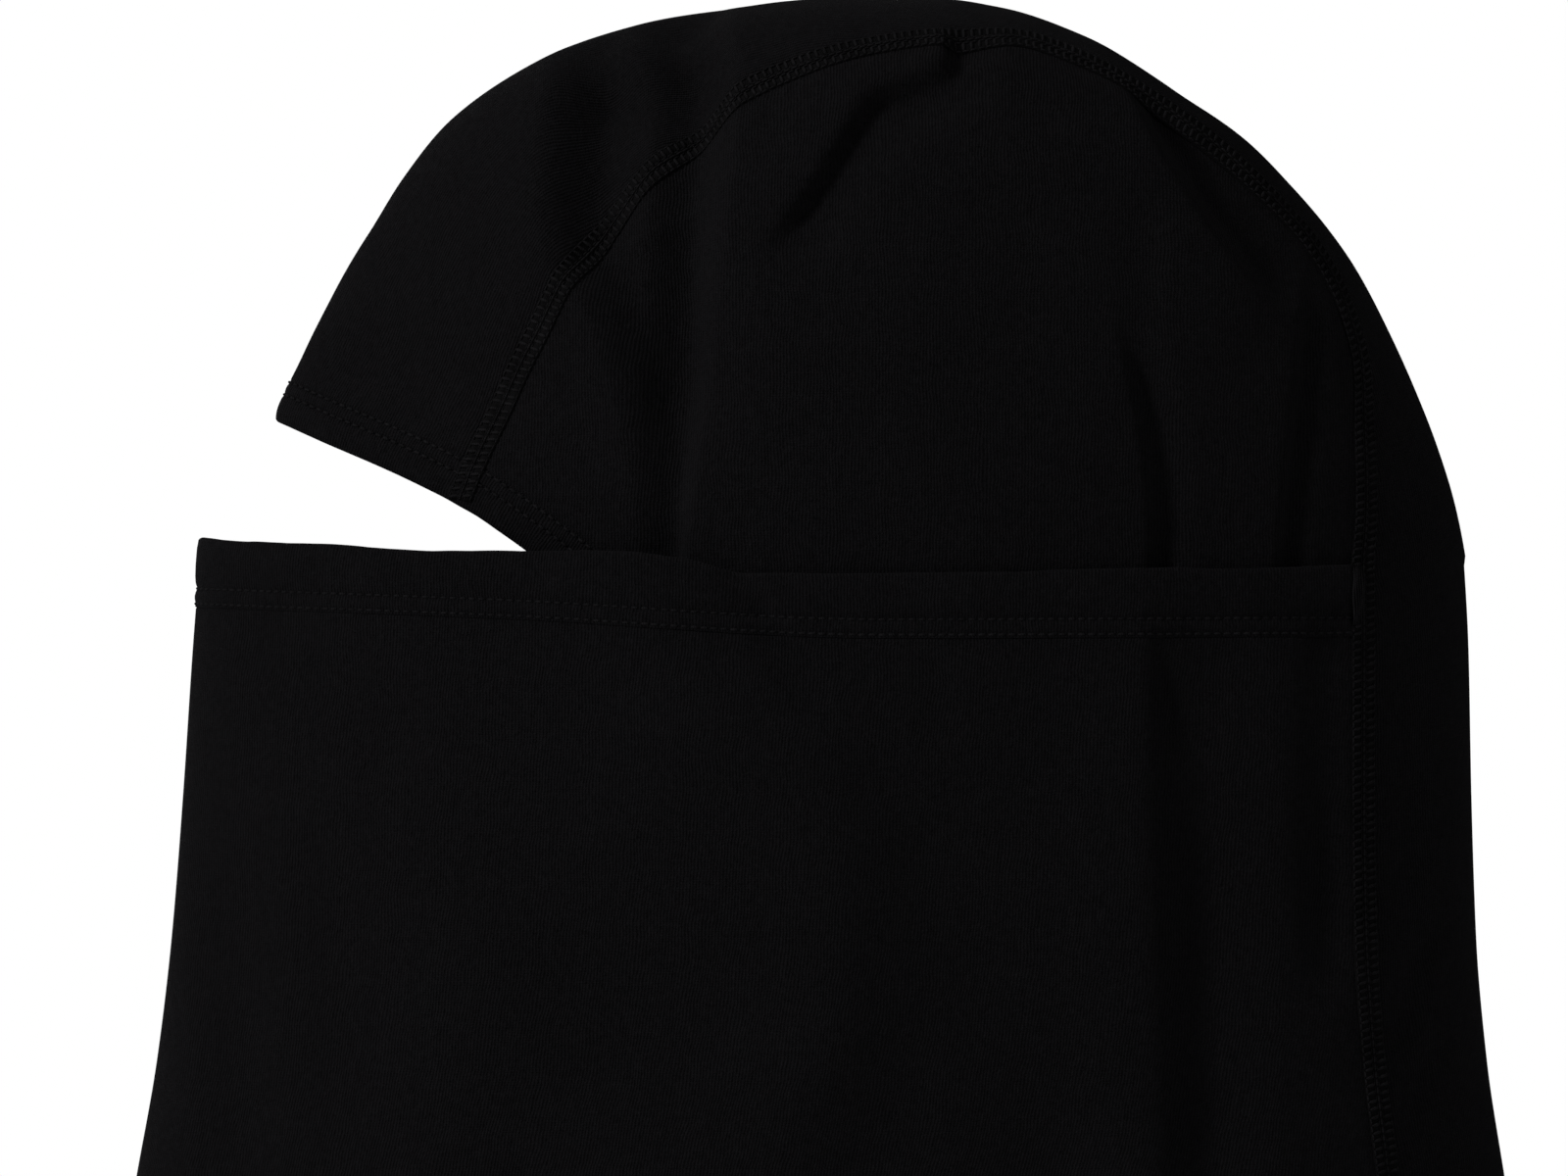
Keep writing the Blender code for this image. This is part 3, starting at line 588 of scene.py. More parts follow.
def knit_material(name, dark, light, sheen=0.014, depth=0.00034, worn=0.0):
    """Brushed single jersey: fine columns of V-shaped loops under a short nap, coordinates in millimetres."""
    made, tree, shader = nodes_of(name)
    uv = add(tree, "ShaderNodeUVMap", uv_map="knit").outputs[0]
    split = add(tree, "ShaderNodeSeparateXYZ", i0=uv)
    u, v = split.outputs[0], split.outputs[1]
    # The loops drift a little, as brushed cloth never lies quite straight.
    drift = add(tree, "ShaderNodeTexNoise", Vector=uv, Scale=0.09, Detail=2.0).outputs["Fac"]
    u = maths(tree, "ADD", u, maths(tree, "MULTIPLY", drift, 2.2))
    wale = maths(tree, "MULTIPLY", u, 2 * math.pi / WALE)
    column = maths(tree, "COSINE", wale)
    leg = maths(tree, "ABSOLUTE", maths(tree, "SINE", maths(tree, "MULTIPLY", wale, 0.5)))
    course = maths(tree, "MULTIPLY", maths(tree, "SUBTRACT", maths(tree, "DIVIDE", v, COURSE), maths(tree, "MULTIPLY", leg, 0.6)), 2 * math.pi)
    loops = maths(tree, "MULTIPLY", maths(tree, "SINE", course), 0.35)
    height = maths(tree, "MULTIPLY", column, maths(tree, "ADD", loops, 0.65))
    place = add(tree, "ShaderNodeTexCoord").outputs["Object"]
    fibre = add(tree, "ShaderNodeTexNoise", Vector=place, Scale=2600.0, Detail=3.0, Roughness=0.62).outputs["Fac"]
    tuft = add(tree, "ShaderNodeTexNoise", Vector=place, Scale=620.0, Detail=3.0, Roughness=0.6).outputs["Fac"]
    cloud = add(tree, "ShaderNodeTexNoise", Vector=place, Scale=34.0, Detail=4.0, Roughness=0.55).outputs["Fac"]
    relief = maths(tree, "ADD", maths(tree, "MULTIPLY", height, 0.42),
                   maths(tree, "ADD", maths(tree, "MULTIPLY", fibre, 1.3), maths(tree, "MULTIPLY", tuft, 0.9)))
    tone = maths(tree, "ADD", maths(tree, "MULTIPLY", height, 0.24),
                 maths(tree, "ADD", maths(tree, "MULTIPLY", maths(tree, "SUBTRACT", fibre, 0.5), 1.5),
                       maths(tree, "MULTIPLY", maths(tree, "SUBTRACT", tuft, 0.5), 0.55)))
    tone = maths(tree, "ADD", tone, maths(tree, "MULTIPLY", maths(tree, "SUBTRACT", cloud, 0.5), 0.28))
    factor = add(tree, "ShaderNodeMapRange", Value=tone, **{"From Min": -0.52, "From Max": 0.62})
    factor.clamp = True
    mix = add(tree, "ShaderNodeMix", data_type="RGBA", i0=factor.outputs[0])
    mix.inputs[6].default_value = (*dark, 1.0)
    mix.inputs[7].default_value = (*light, 1.0)
    tree.links.new(mix.outputs[2], shader.inputs["Base Color"])
    rough = add(tree, "ShaderNodeMapRange", Value=tuft, **{"From Min": 0.3, "From Max": 0.7, "To Min": 0.98, "To Max": 0.84})
    tree.links.new(rough.outputs[0], shader.inputs["Roughness"])
    shader.inputs["Specular IOR Level"].default_value = 0.06
    shader.inputs["Sheen Weight"].default_value = sheen
    shader.inputs["Sheen Roughness"].default_value = 0.42
    shader.inputs["Sheen Tint"].default_value = (0.80, 0.78, 0.84, 1.0)
    normal = add(tree, "ShaderNodeBump", Height=relief, Strength=0.9, Distance=depth).outputs[0]
    tree.links.new(normal, shader.inputs["Normal"])
    return made


def thread_material(name, dark, light, sheen=0.012):
    """Polyester sewing thread: two plies twisted round each other, with a soft shine."""
    made, tree, shader = nodes_of(name)
    uv = add(tree, "ShaderNodeUVMap", uv_map="knit").outputs[0]
    split = add(tree, "ShaderNodeSeparateXYZ", i0=uv)
    twist = maths(tree, "SINE", maths(tree, "MULTIPLY", maths(tree, "ADD", maths(tree, "MULTIPLY", split.outputs[0], 2.4),
                                                             split.outputs[1]), 2 * math.pi))
    place = add(tree, "ShaderNodeTexCoord").outputs["Object"]
    fibre = add(tree, "ShaderNodeTexNoise", Vector=place, Scale=3000.0, Detail=3.0, Roughness=0.6).outputs["Fac"]
    patch = add(tree, "ShaderNodeTexNoise", Vector=place, Scale=240.0, Detail=2.0).outputs["Fac"]
    tone = maths(tree, "ADD", maths(tree, "MULTIPLY", twist, 0.22),
                 maths(tree, "ADD", maths(tree, "MULTIPLY", maths(tree, "SUBTRACT", fibre, 0.5), 1.1),
                       maths(tree, "MULTIPLY", maths(tree, "SUBTRACT", patch, 0.5), 1.1)))
    factor = add(tree, "ShaderNodeMapRange", Value=tone, **{"From Min": -0.6, "From Max": 0.6})
    mix = add(tree, "ShaderNodeMix", data_type="RGBA", i0=factor.outputs[0])
    mix.inputs[6].default_value = (*dark, 1.0)
    mix.inputs[7].default_value = (*light, 1.0)
    tree.links.new(mix.outputs[2], shader.inputs["Base Color"])
    rough = add(tree, "ShaderNodeMapRange", Value=fibre, **{"From Min": 0.3, "From Max": 0.7, "To Min": 0.78, "To Max": 0.62})
    tree.links.new(rough.outputs[0], shader.inputs["Roughness"])
    shader.inputs["Specular IOR Level"].default_value = 0.05
    shader.inputs["Sheen Weight"].default_value = sheen
    normal = add(tree, "ShaderNodeBump", Height=maths(tree, "ADD", maths(tree, "MULTIPLY", twist, 0.5), fibre),
                 Strength=0.8, Distance=0.00006).outputs[0]
    tree.links.new(normal, shader.inputs["Normal"])
    return made


KNIT = knit_material("brushed_knit", (0.0022, 0.0021, 0.0023), (0.0130, 0.0122, 0.0139))
THREAD = thread_material("sewing_thread", (0.0030, 0.0029, 0.0032), (0.0170, 0.0161, 0.0178))
TAPE = thread_material("flatlock_cover", (0.0017, 0.0016, 0.0018), (0.0058, 0.0055, 0.0061))


# ---- meshes ----
def mesh_object(name, points, faces, uv, material):
    """A mesh from points in millimetres, faces, and a coordinate in millimetres for each point."""
    mesh = bpy.data.meshes.new(name)
    points = np.ascontiguousarray(points, float) * MM
    faces = np.asarray(faces, np.int32)
    mesh.vertices.add(len(points))
    mesh.vertices.foreach_set("co", points.ravel())
    width = faces.shape[1]
    mesh.loops.add(faces.size)
    mesh.loops.foreach_set("vertex_index", faces.ravel())
    mesh.polygons.add(len(faces))
    mesh.polygons.foreach_set("loop_start", np.arange(0, faces.size, width, dtype=np.int32))
    mesh.update(calc_edges=True)
    mesh.validate()
    mesh.shade_smooth()
    layer = mesh.uv_layers.new(name="knit")
    index = np.empty(len(mesh.loops), np.int32)
    mesh.loops.foreach_get("vertex_index", index)
    layer.data.foreach_set("uv", np.asarray(uv, float)[index].ravel())
    mesh.materials.append(material)
    obj = bpy.data.objects.new(name, mesh)
    bpy.context.scene.collection.objects.link(obj)
    return obj


def grid_faces(rows, columns, wrap_rows=False, wrap_columns=False):
    r = np.arange(rows if wrap_rows else rows - 1)
    c = np.arange(columns if wrap_columns else columns - 1)
    rr, cc = np.meshgrid(r, c, indexing="ij")
    r2, c2 = (rr + 1) % rows, (cc + 1) % columns
    quads = np.stack([rr * columns + cc, rr * columns + c2, r2 * columns + c2, r2 * columns + cc], axis=-1)
    return quads.reshape(-1, 4)


def outward_faces(points, faces):
    """The faces, turned round if most look inward."""
    corners = points[faces[:, :3]]
    normal = np.cross(corners[:, 1] - corners[:, 0], corners[:, 2] - corners[:, 0])
    middle = corners.mean(1)
    hub = np.column_stack([np.zeros(len(middle)), np.full(len(middle), HUB_Y), np.minimum(middle[:, 2], HUB_Z)])
    return faces if (normal * (middle - hub)).sum() > 0 else faces[:, ::-1]


def cloth(name, points, uv, material, thick=CLOTH):
    """A grid of cloth, thickened inward."""
    rows, columns = points.shape[:2]
    flat = points.reshape(-1, 3)
    faces = outward_faces(flat, grid_faces(rows, columns))
    obj = mesh_object(name, flat, faces, uv.reshape(-1, 2), material)
    solid = obj.modifiers.new("thickness", "SOLIDIFY")
    solid.thickness = thick * MM
    solid.offset = -1.0
    solid.use_even_offset = False
    solid.use_quality_normals = True
    return obj


def folded(name, sections, uv, material):
    """A turned hem: sections is (along, around, 3), closed around, with its two ends left open."""
    n, m = sections.shape[:2]
    flat = sections.reshape(-1, 3)
    faces = grid_faces(n, m, wrap_columns=True)
    corners = flat[faces[:, :3]]
    normal = np.cross(corners[:, 1] - corners[:, 0], corners[:, 2] - corners[:, 0])
    inside = sections.mean(1)[faces[:, 0] // m]
    if (normal * (corners.mean(1) - inside)).sum() < 0:
        faces = faces[:, ::-1]
    obj = mesh_object(name, flat, faces, uv.reshape(-1, 2), material)
    return obj


def capped(obj, n, m):
    """Fills the first and last ring of a folded strip."""
    import bmesh

    bm = bmesh.new()
    bm.from_mesh(obj.data)
    holes = [edge for edge in bm.edges if edge.is_boundary]
    bmesh.ops.holes_fill(bm, edges=holes, sides=0)
    bmesh.ops.recalc_face_normals(bm, faces=bm.faces)
    bm.to_mesh(obj.data)
    bm.free()
    return obj


def dashes(name, runs, material):
    """Short rounded threads. runs is a list of (centres (n,k,3), up (n,3), radius across, radius up)."""
    all_points, all_faces, all_uv, base = [], [], [], 0
    ring = np.linspace(0, 2 * np.pi, 7)[:-1]
    for centres, up, wide, tall in runs:
        n, k = centres.shape[:2]
        if n == 0:
            continue
        tangent = np.gradient(centres, axis=1)
        tangent /= np.maximum(np.linalg.norm(tangent, axis=-1, keepdims=True), 1e-9)
        across = np.cross(tangent, up[:, None, :])
        across /= np.maximum(np.linalg.norm(across, axis=-1, keepdims=True), 1e-9)
        rise = np.cross(across, tangent)
        t = np.linspace(-1, 1, k)
        taper = np.sqrt(np.clip(1 - np.abs(t) ** 3.2 * 0.93, 0.02, 1))
        offset = (
            across[:, :, None, :] * (np.cos(ring) * wide)[None, None, :, None]
            + rise[:, :, None, :] * (np.sin(ring) * tall)[None, None, :, None]
        ) * taper[None, :, None, None]
        points = centres[:, :, None, :] + offset
        points = points.reshape(n, k * 6, 3)
        faces = grid_faces(k, 6, wrap_columns=True)
        ends = np.array([[0, 1, 2, 3], [0, 3, 4, 5]])
        low = ends
        high = ends[:, ::-1] + (k - 1) * 6
        one = np.vstack([faces, low[:, ::-1] if False else low, high])
        faces_all = one[None] + (np.arange(n) * k * 6)[:, None, None] + base
        along = lengths(centres[0])
        uv = np.stack(np.broadcast_arrays(along[None, :, None] + np.arange(n)[:, None, None] * 0.37, (ring / (2 * np.pi))[None, None, :]), axis=-1)
        all_points.append(points.reshape(-1, 3))
        all_faces.append(faces_all.reshape(-1, 4))
        all_uv.append(uv.reshape(-1, 2))
        base += n * k * 6
    points, faces, uv = np.vstack(all_points), np.vstack(all_faces), np.vstack(all_uv)
    obj = mesh_object(name, points, faces, uv, material)
    import bmesh

    bm = bmesh.new()
    bm.from_mesh(obj.data)
    bmesh.ops.recalc_face_normals(bm, faces=bm.faces)
    bm.to_mesh(obj.data)
    bm.free()
    return obj


def stitches(line, normals, pitch, filled, radius, sink, lift=0.0, jitter=0.0, seed=0, tall=None):
    """Dashes along a line: each one arches up out of the cloth and dives back in."""
    along = lengths(line)
    count = max(int(along[-1] / pitch), 1)
    rng = np.random.default_rng(seed)
    start = (np.arange(count) + 0.5) * along[-1] / count
    if jitter:
        start = start + rng.uniform(-jitter, jitter, count)
    steps = np.linspace(-0.5, 0.5, 7) * pitch * filled
    s = np.clip(start[:, None] + steps[None], 0, along[-1])
    centres = np.stack([np.interp(s, along, line[:, k]) for k in range(3)], axis=-1)
    up = np.stack([np.interp(start, along, normals[:, k]) for k in range(3)], axis=-1)
    up /= np.linalg.norm(up, axis=-1, keepdims=True)
    arch = (1 - np.linspace(-1, 1, 7) ** 2) * sink + lift - sink * 0.4
    centres = centres + up[:, None, :] * arch[None, :, None]
    return centres, up, radius, tall or radius


# ---- hood: centre strip ----
BRIM_TUCK = 8.0  # the cloth of the hood goes in under the turned hem from here
CORNER = corner(BRIM_TUCK)


def under_hem(w, joint=9.15, depth=0.75, run=0.8):
    """Cloth dips under the hem's outer layer at the joint."""
    return -depth * ease((joint - w) / run)


def strip_rows():
    """Directions of the strip's rows, from the brim over the crown to the bottom hem, for each place across."""
    v_line, a_line, _ = brim_line(BRIM_TUCK)
    columns = np.linspace(-1, 1, 45)
    a_end = np.interp(np.abs(columns), v_line, a_line)
    low = (BOTTOM_Z + BOTTOM_HEM_WIDTH - 1.4 - HUB_Z) / PER_DEGREE
    upper = np.linspace(0, 1, 211) ** 1.0
    rows = a_end[None] * (1 - upper[:, None])
    # Rows bunch up near the brim, where the cloth dips under the hem.
    fine = np.array([0.0, 0.25, 0.5, 0.75]) * (upper[1] - upper[0])
    rows = np.vstack([a_end[None] * (1 - fine[:, None]), rows[1:]])
    lower = np.linspace(0, low, 125)[1:, None] * np.ones_like(columns)[None]
    return np.vstack([rows, lower]), columns


def seam_groove(v, width):
    """The cloth is drawn in a little where it meets the flat seam."""
    return -0.35 * ease(1 - (1 - np.abs(v)) * width / 4.5)


def seam_shift(z):
    """Below the hood's end the strip's edge moves out to the neck's own seam."""
    return ease((HUB_Z - z) / 8.0)


def build_strip():
    rows, columns = strip_rows()
    base = strip_point(rows, columns[None])
    edge = base[:, -1]
    low = np.minimum(edge[:, 2], -100.5)
    out = (neck_point(seam_s(low), low) - edge) * seam_shift(edge[:, 2])[:, None]
    spread = ease((np.abs(columns) - 0.3) / 0.7)
    base = base + out[:, None] * spread[None, :, None] * np.stack([np.sign(columns), columns**0, columns**0], axis=-1)[None]
    # The exact normals of a closed shape: from its neighbours, and upright on the centre line.
    normal = grid_normals(base)
    middle = len(columns) // 2
    normal[:, middle, 0] = 0.0
    normal[:, middle] /= np.linalg.norm(normal[:, middle], axis=-1, keepdims=True)
    x, y, z = base[..., 0], base[..., 1], base[..., 2]
    relief = np.where(rows > 0, hood_relief(x, y, z), nape_relief(x, y, z))
    relief = relief * ease(np.abs(rows) / 8.0 + 0.0) + nape_relief(x, y, z) * 0
    width = np.linalg.norm(base[:, -1] - base[:, middle], axis=-1)[:, None]
    relief = relief + seam_groove(columns[None], width)
    w = brim_distance(y[:60], z[:60])
    relief[:60] += under_hem(w)
    along = np.zeros(rows.shape)
    along[1:] = np.cumsum(np.linalg.norm(np.diff(base, axis=0), axis=-1), axis=0)
    along -= along[len(rows) // 2][None]
    sideways = np.zeros(rows.shape)
    sideways[:, 1:] = np.cumsum(np.linalg.norm(np.diff(base, axis=1), axis=-1), axis=1)
    sideways -= sideways[:, middle][:, None]
    uv = np.stack([sideways, along], axis=-1)
    points = base + normal * relief[..., None]
    return points, uv, base


STRIP, STRIP_UV, STRIP_BASE = build_strip()
strip = cloth("centre_strip", STRIP, STRIP_UV, KNIT)


# ---- hood: sides ----
def at(line, f):
    along = lengths(line)
    s = np.asarray(f, float) * along[-1]
    return np.stack([np.interp(s, along, line[:, k]) for k in range(line.shape[1])], axis=-1)


def side_grid(nu, nv):
    split = 40.0
    low = (SKIRT[-1][1] - HUB_Z) / PER_DEGREE

    def seam_yz(a):
        rho = seam_rho(a) - 0.15 / hood_radius(a)
        return np.stack(hood_yz(a, rho), axis=-1)

    top = seam_yz(np.linspace(CORNER[0], split, 400))
    back = seam_yz(np.linspace(split, low, 400))
    line = brim_curve(BRIM_TUCK, 2001)
    start = int(np.argmin(np.hypot(line[:, 1] - CORNER[1], line[:, 2] - CORNER[2])))
    front = line[start:, 1:].copy()
    front[0] = top[0]
    skirt = path_through([tuple(front[-1])] + SKIRT[1:-1] + [tuple(back[-1])], 400)
    u, v = np.meshgrid(np.linspace(0, 1, nu), np.linspace(0, 1, nv), indexing="ij")
    u = np.where(u < 0.06, u**1.25 * 0.06 ** (-0.25), u)
    u_, v_ = u[..., None], v[..., None]
    corners = top[0], top[-1], front[-1], back[-1]
    yz = (
        (1 - v_) * at(top, u) + v_ * at(skirt, u) + (1 - u_) * at(front, v) + u_ * at(back, v)
        - (1 - u_) * (1 - v_) * corners[0] - u_ * (1 - v_) * corners[1]
        - (1 - u_) * v_ * corners[2] - u_ * v_ * corners[3]
    )
    return yz


def hood_surface(y, z):
    return np.stack([hood_x(y, z), y, z], axis=-1)


def hood_normal(y, z, e=0.15):
    du = hood_surface(y + e, z) - hood_surface(y - e, z)
    dv = hood_surface(y, z + e) - hood_surface(y, z - e)
    return outward(hood_surface(y, z), du, dv)


def build_side(turn):
    yz = side_grid(150, 112)
    y, z = yz[..., 0], yz[..., 1]
    base = hood_surface(y, z)
    normal = grid_normals(base)
    relief = hood_relief(base[..., 0] * turn, y, z)
    relief = relief * side_hold(y, z)
    relief += -0.35 * ease(1 - seam_distance(y, z) / 4.5)
    relief += under_hem(brim_distance(y, z))
    points = base + normal * relief[..., None]
    points[..., 0] *= turn
    uv = knit_uv(y, z)
    uv[..., 0] *= turn
    return points, uv


SIDES = {}
for word, turn in (("left", 1), ("right", -1)):
    points, uv = build_side(turn)
    SIDES[word] = cloth(f"side_cloth_{word}", points, uv, KNIT), points


# ---- hood: brim hem ----
def brim_base(w, count):
    """The whole line at distance w in from the edge, right end to left end."""
    half = brim_curve(w, count)
    line = np.vstack([half[:0:-1] * [-1, 1, 1], half])
    return line


def brim_section():
    """Distance in from the edge, and height over the cloth's surface, around the turned hem."""
    outer = [(9.3, -0.55), (9.1, -0.12), (8.9, -0.04), (8.6, -0.22), (8.3, -0.03), (7.8, 0.08), (7.25, 0.12),
             (6.7, 0.07), (6.2, -0.04), (5.9, -0.22), (5.6, -0.03), (5.1, 0.12), (4.2, 0.2), (3.2, 0.22), (2.2, 0.16),
             (1.3, 0.02)]
    turn = [(1.1 - 1.1 * math.sin(t), -1.1 + 1.08 * math.cos(t)) for t in np.radians([25, 50, 75, 90, 105, 130, 155])]
    inner = [(1.3, -2.2), (3.0, -2.22), (5.9, -2.1), (7.5, -2.2), (8.8, -2.2), (9.3, -1.7)]
    return outer + turn + inner


BRIM_COUNT = 170


def brim_frame():
    """For each point along the brim: its edge, the direction in along the cloth, and the way out, by marching in."""
    lines = [brim_base(w, BRIM_COUNT) for w in np.arange(0.0, 10.01, 0.5)]
    lines = np.array(lines)
    normal = grid_normals(lines)
    middle = lines.shape[1] // 2
    normal[:, middle, 0] = 0.0
    normal[:, middle] /= np.linalg.norm(normal[:, middle], axis=-1, keepdims=True)
    return lines, normal


BRIM_LINES, BRIM_NORMALS = brim_frame()


def brim_at(w, h):
    """Points of the brim hem at distance w and height h, for every place along, with the garment's relief."""
    f = np.clip(w, 0, 10) / 0.5
    k = min(int(f), len(BRIM_LINES) - 2)
    f -= k
    base = BRIM_LINES[k] * (1 - f) + BRIM_LINES[k + 1] * f
    normal = BRIM_NORMALS[k] * (1 - f) + BRIM_NORMALS[k + 1] * f
    normal /= np.linalg.norm(normal, axis=-1, keepdims=True)
    relief = hood_relief(base[:, 0], base[:, 1], base[:, 2])
    along = lengths(BRIM_LINES[0])
    wave = 0.22 * soft_noise(along, w * 0.6, 9, 21) + 0.12 * soft_noise(along, w, 4.5, 22)
    wave = wave * ease((9.4 - w) / 3.0)
    # The flat seam under the hem makes a small bump.
    seam_x = np.abs(base[:, 0])
    a, rho = hood_direction(base[:, 1], base[:, 2])
    off = (seam_rho(a) - rho) * hood_radius(a)
    lump = 0.55 * bump(off, 4.5) * ease((9.2 - w) / 2.0)
    return base + normal * (h + relief + wave + lump)[:, None], normal, along


def build_brim():
    rings, uvs = [], []
    for w, h in brim_section():
        points, _, along = brim_at(w, h)
        rings.append(points)
    sections = np.array(rings).transpose(1, 0, 2)
    around = lengths(np.array(brim_section()))
    along = along - along[len(along) // 2]
    uv = np.stack(np.broadcast_arrays(along[:, None], around[None]), axis=-1)
    obj = folded("brim_hem_fold", sections, uv, KNIT)
    return capped(obj, *sections.shape[:2])


brim = build_brim()


def brim_stitch_run(w, seed):
    points, normal, _ = brim_at(w, 0.0)
    keep = slice(3, -3)
    return stitches(points[keep], normal[keep], STITCH_PITCH, 0.82, 0.27, 0.30, lift=-0.02, jitter=0.05, seed=seed, tall=0.2)


brim_stitches = {
    "outer": dashes("brim_needle_thread_outer", [brim_stitch_run(5.9, 31)], THREAD),
    "inner": dashes("brim_needle_thread_inner", [brim_stitch_run(8.6, 32)], THREAD),
}


# ---- mask and neck ----
def mask_cloth_grid():
    """Rows down from under the mask hem to under the bottom hem, columns from the right seam round the front."""
    columns = np.linspace(-1, 1, 321)
    y_at = neck_point(columns * (seam_s(-115.0) - 0.2), -115.0)[:, 1]
    top = mask_row_z(y_at) - MASK_HEM_WIDTH + 1.0
    low = BOTTOM_Z + BOTTOM_HEM_WIDTH - 1.4
    f = np.concatenate([[0, 0.0022, 0.0045, 0.0067], np.linspace(0.009, 1, 150)])
    z = top[None] + (low - top)[None] * f[:, None]
    s = columns[None] * (seam_s(z) - 0.2)
    return s, z


def build_mask_cloth():
    s, z = mask_cloth_grid()
    base = neck_point(s, z)
    normal = grid_normals(base)
    middle = s.shape[1] // 2
    normal[:, middle, 0] = 0.0
    normal[:, middle] /= np.linalg.norm(normal[:, middle], axis=-1, keepdims=True)
    relief = neck_relief(base[..., 0], base[..., 1], z) * ease((seam_s(z) - np.abs(s)) / 12.0)
    relief += -0.35 * ease(1 - (seam_s(z) - np.abs(s)) / 4.5)
    drop = z[0][None] - z
    relief += -0.75 * ease((1.0 - drop) / 0.8)  # under the mask's hem
    rise = z - z[-1][None]
    relief += -0.75 * ease((1.4 - rise) / 1.0)
    points = base + normal * relief[..., None]
    uv = np.stack([s, z], axis=-1)
    return points, uv


MASK_POINTS, MASK_UV = build_mask_cloth()
mask_cloth = cloth("mask_and_neck_cloth", MASK_POINTS, MASK_UV, KNIT)


def mask_section():
    """Distance down from the top edge, and height over the cloth's surface, around the turned hem."""
    outer = [(14.0, -0.55), (13.75, 0.06), (13.5, 0.16), (13.1, -0.05), (12.7, 0.2), (12.1, 0.36), (11.5, 0.42),
             (10.9, 0.34), (10.4, 0.2), (10.0, -0.04), (9.6, 0.22), (8.9, 0.5), (7.5, 0.72), (5.5, 0.86), (3.5, 0.86),
             (2.2, 0.78), (1.3, 0.62)]
    turn = [(1.1 - 1.1 * math.sin(t), -0.45 + 1.1 * math.cos(t)) for t in np.radians([25, 50, 75, 90, 105, 130, 155])]
    inner = [(1.3, -1.52), (4.0, -1.5), (7.5, -1.45), (10.0, -1.4), (13.0, -1.45), (14.0, -1.2)]
    return outer + turn + inner


def mask_at(w, h):
    columns = np.linspace(-1, 1, 361)
    s115 = columns * (seam_s(-115.0) - 2.4)
    y_at = neck_point(s115, -115.0)[:, 1]
    along = s115
    top = mask_top_z(y_at)
    rows = mask_row_z(y_at)
    # The stitch rows run straighter than the free edge.
    z = top - w + (rows - top) * ease(w / 10.0)
    z = z + (0.32 * soft_noise(along + 400, 0 * along, 13, 41) + 0.16 * soft_noise(along + 400, 0 * along, 5.5, 42)) * ease(1 - w / 8.0)
    s = columns * (seam_s(z) - 2.4)
    e = 0.3
    base = neck_point(s, z)
    normal = outward(base, neck_point(s + e, z) - neck_point(s - e, z), neck_point(s, z + e) - neck_point(s, z - e))
    middle = len(columns) // 2
    normal[middle] = [0, -1, 0]
    relief = neck_relief(base[:, 0], base[:, 1], z) * ease((seam_s(z) - np.abs(s)) / 12.0)
    wave = 0.30 * soft_noise(along + 400, w * 0.5, 11, 43) + 0.16 * soft_noise(along + 400, w, 4.6, 44)
    wave = wave * (0.35 + 0.65 * ease((13.5 - w) / 5.0))
    return base + normal * (h + relief + wave)[:, None], normal, along


def build_mask_hem():
    rings = []
    for w, h in mask_section():
        points, _, along = mask_at(w, h)
        rings.append(points)
    sections = np.array(rings).transpose(1, 0, 2)
    around = lengths(np.array(mask_section()))
    uv = np.stack(np.broadcast_arrays(along[:, None], around[None]), axis=-1)
    obj = folded("mask_hem_fold", sections, uv, KNIT)
    return capped(obj, *sections.shape[:2])


mask_hem = build_mask_hem()


def mask_stitch_run(w, h, seed):
    points, normal, _ = mask_at(w, h)
    return stitches(points, normal, STITCH_PITCH, 0.82, 0.28, 0.32, lift=0.0, jitter=0.06, seed=seed, tall=0.21)


mask_stitches = {
    "upper": dashes("mask_needle_thread_upper", [mask_stitch_run(10.0, -0.02, 33)], THREAD),
    "lower": dashes("mask_needle_thread_lower", [mask_stitch_run(13.1, -0.03, 34)], THREAD),
}


# ---- bottom hem ----
def bottom_at(rise, h, count=400):
    """A closed line round the neck at this height over the bottom edge."""
    z = BOTTOM_Z + rise
    f = np.arange(count) / count
    s = (f * 2 - 1) * back_s(z)
    e = 0.3
    inner = np.clip(np.abs(s), 0.0, back_s(z) - 1.0) * np.sign(s)
    base = neck_point(s, np.full(count, z))
    normal = outward(
        base, neck_point(inner + e, z) - neck_point(inner - e, z), neck_point(inner, z + e) - neck_point(inner, z - e)
    )
    normal[count // 2] = [0, -1, 0]
    normal[0] = [0, 1, 0]
    along = s
    wave = 0.30 * soft_noise(along + 600, rise * 0.5, 12, 51) + 0.16 * soft_noise(along + 600, rise, 5, 52)
    near_seam = bump(np.abs(s) - seam_s(z), 4.5)
    relief = neck_relief(base[:, 0], base[:, 1], np.full(count, z)) * ease((18.0 - rise) / 18.0 + 0.2)
    return base + normal * (h + wave * 0.8 + 0.5 * near_seam + relief)[:, None], normal, along


def bottom_section():
    outer = [(17.0, -0.5), (16.7, 0.0), (16.3, 0.08), (15.5, -0.2), (15.1, 0.02), (14.5, 0.14), (13.9, 0.18), (13.3, 0.12),
             (12.8, 0.02), (12.4, -0.2), (12.0, 0.02), (11.0, 0.2), (8.0, 0.32), (5.0, 0.32), (2.5, 0.2), (1.3, 0.06)]
    turn = [(1.1 - 1.1 * math.sin(t), -1.1 + 1.1 * math.cos(t)) for t in np.radians([25, 50, 75, 90, 105, 130, 155])]
    inner = [(1.3, -2.2), (5.0, -2.2), (10.0, -2.15), (14.0, -2.15), (17.0, -1.8)]
    return outer + turn + inner


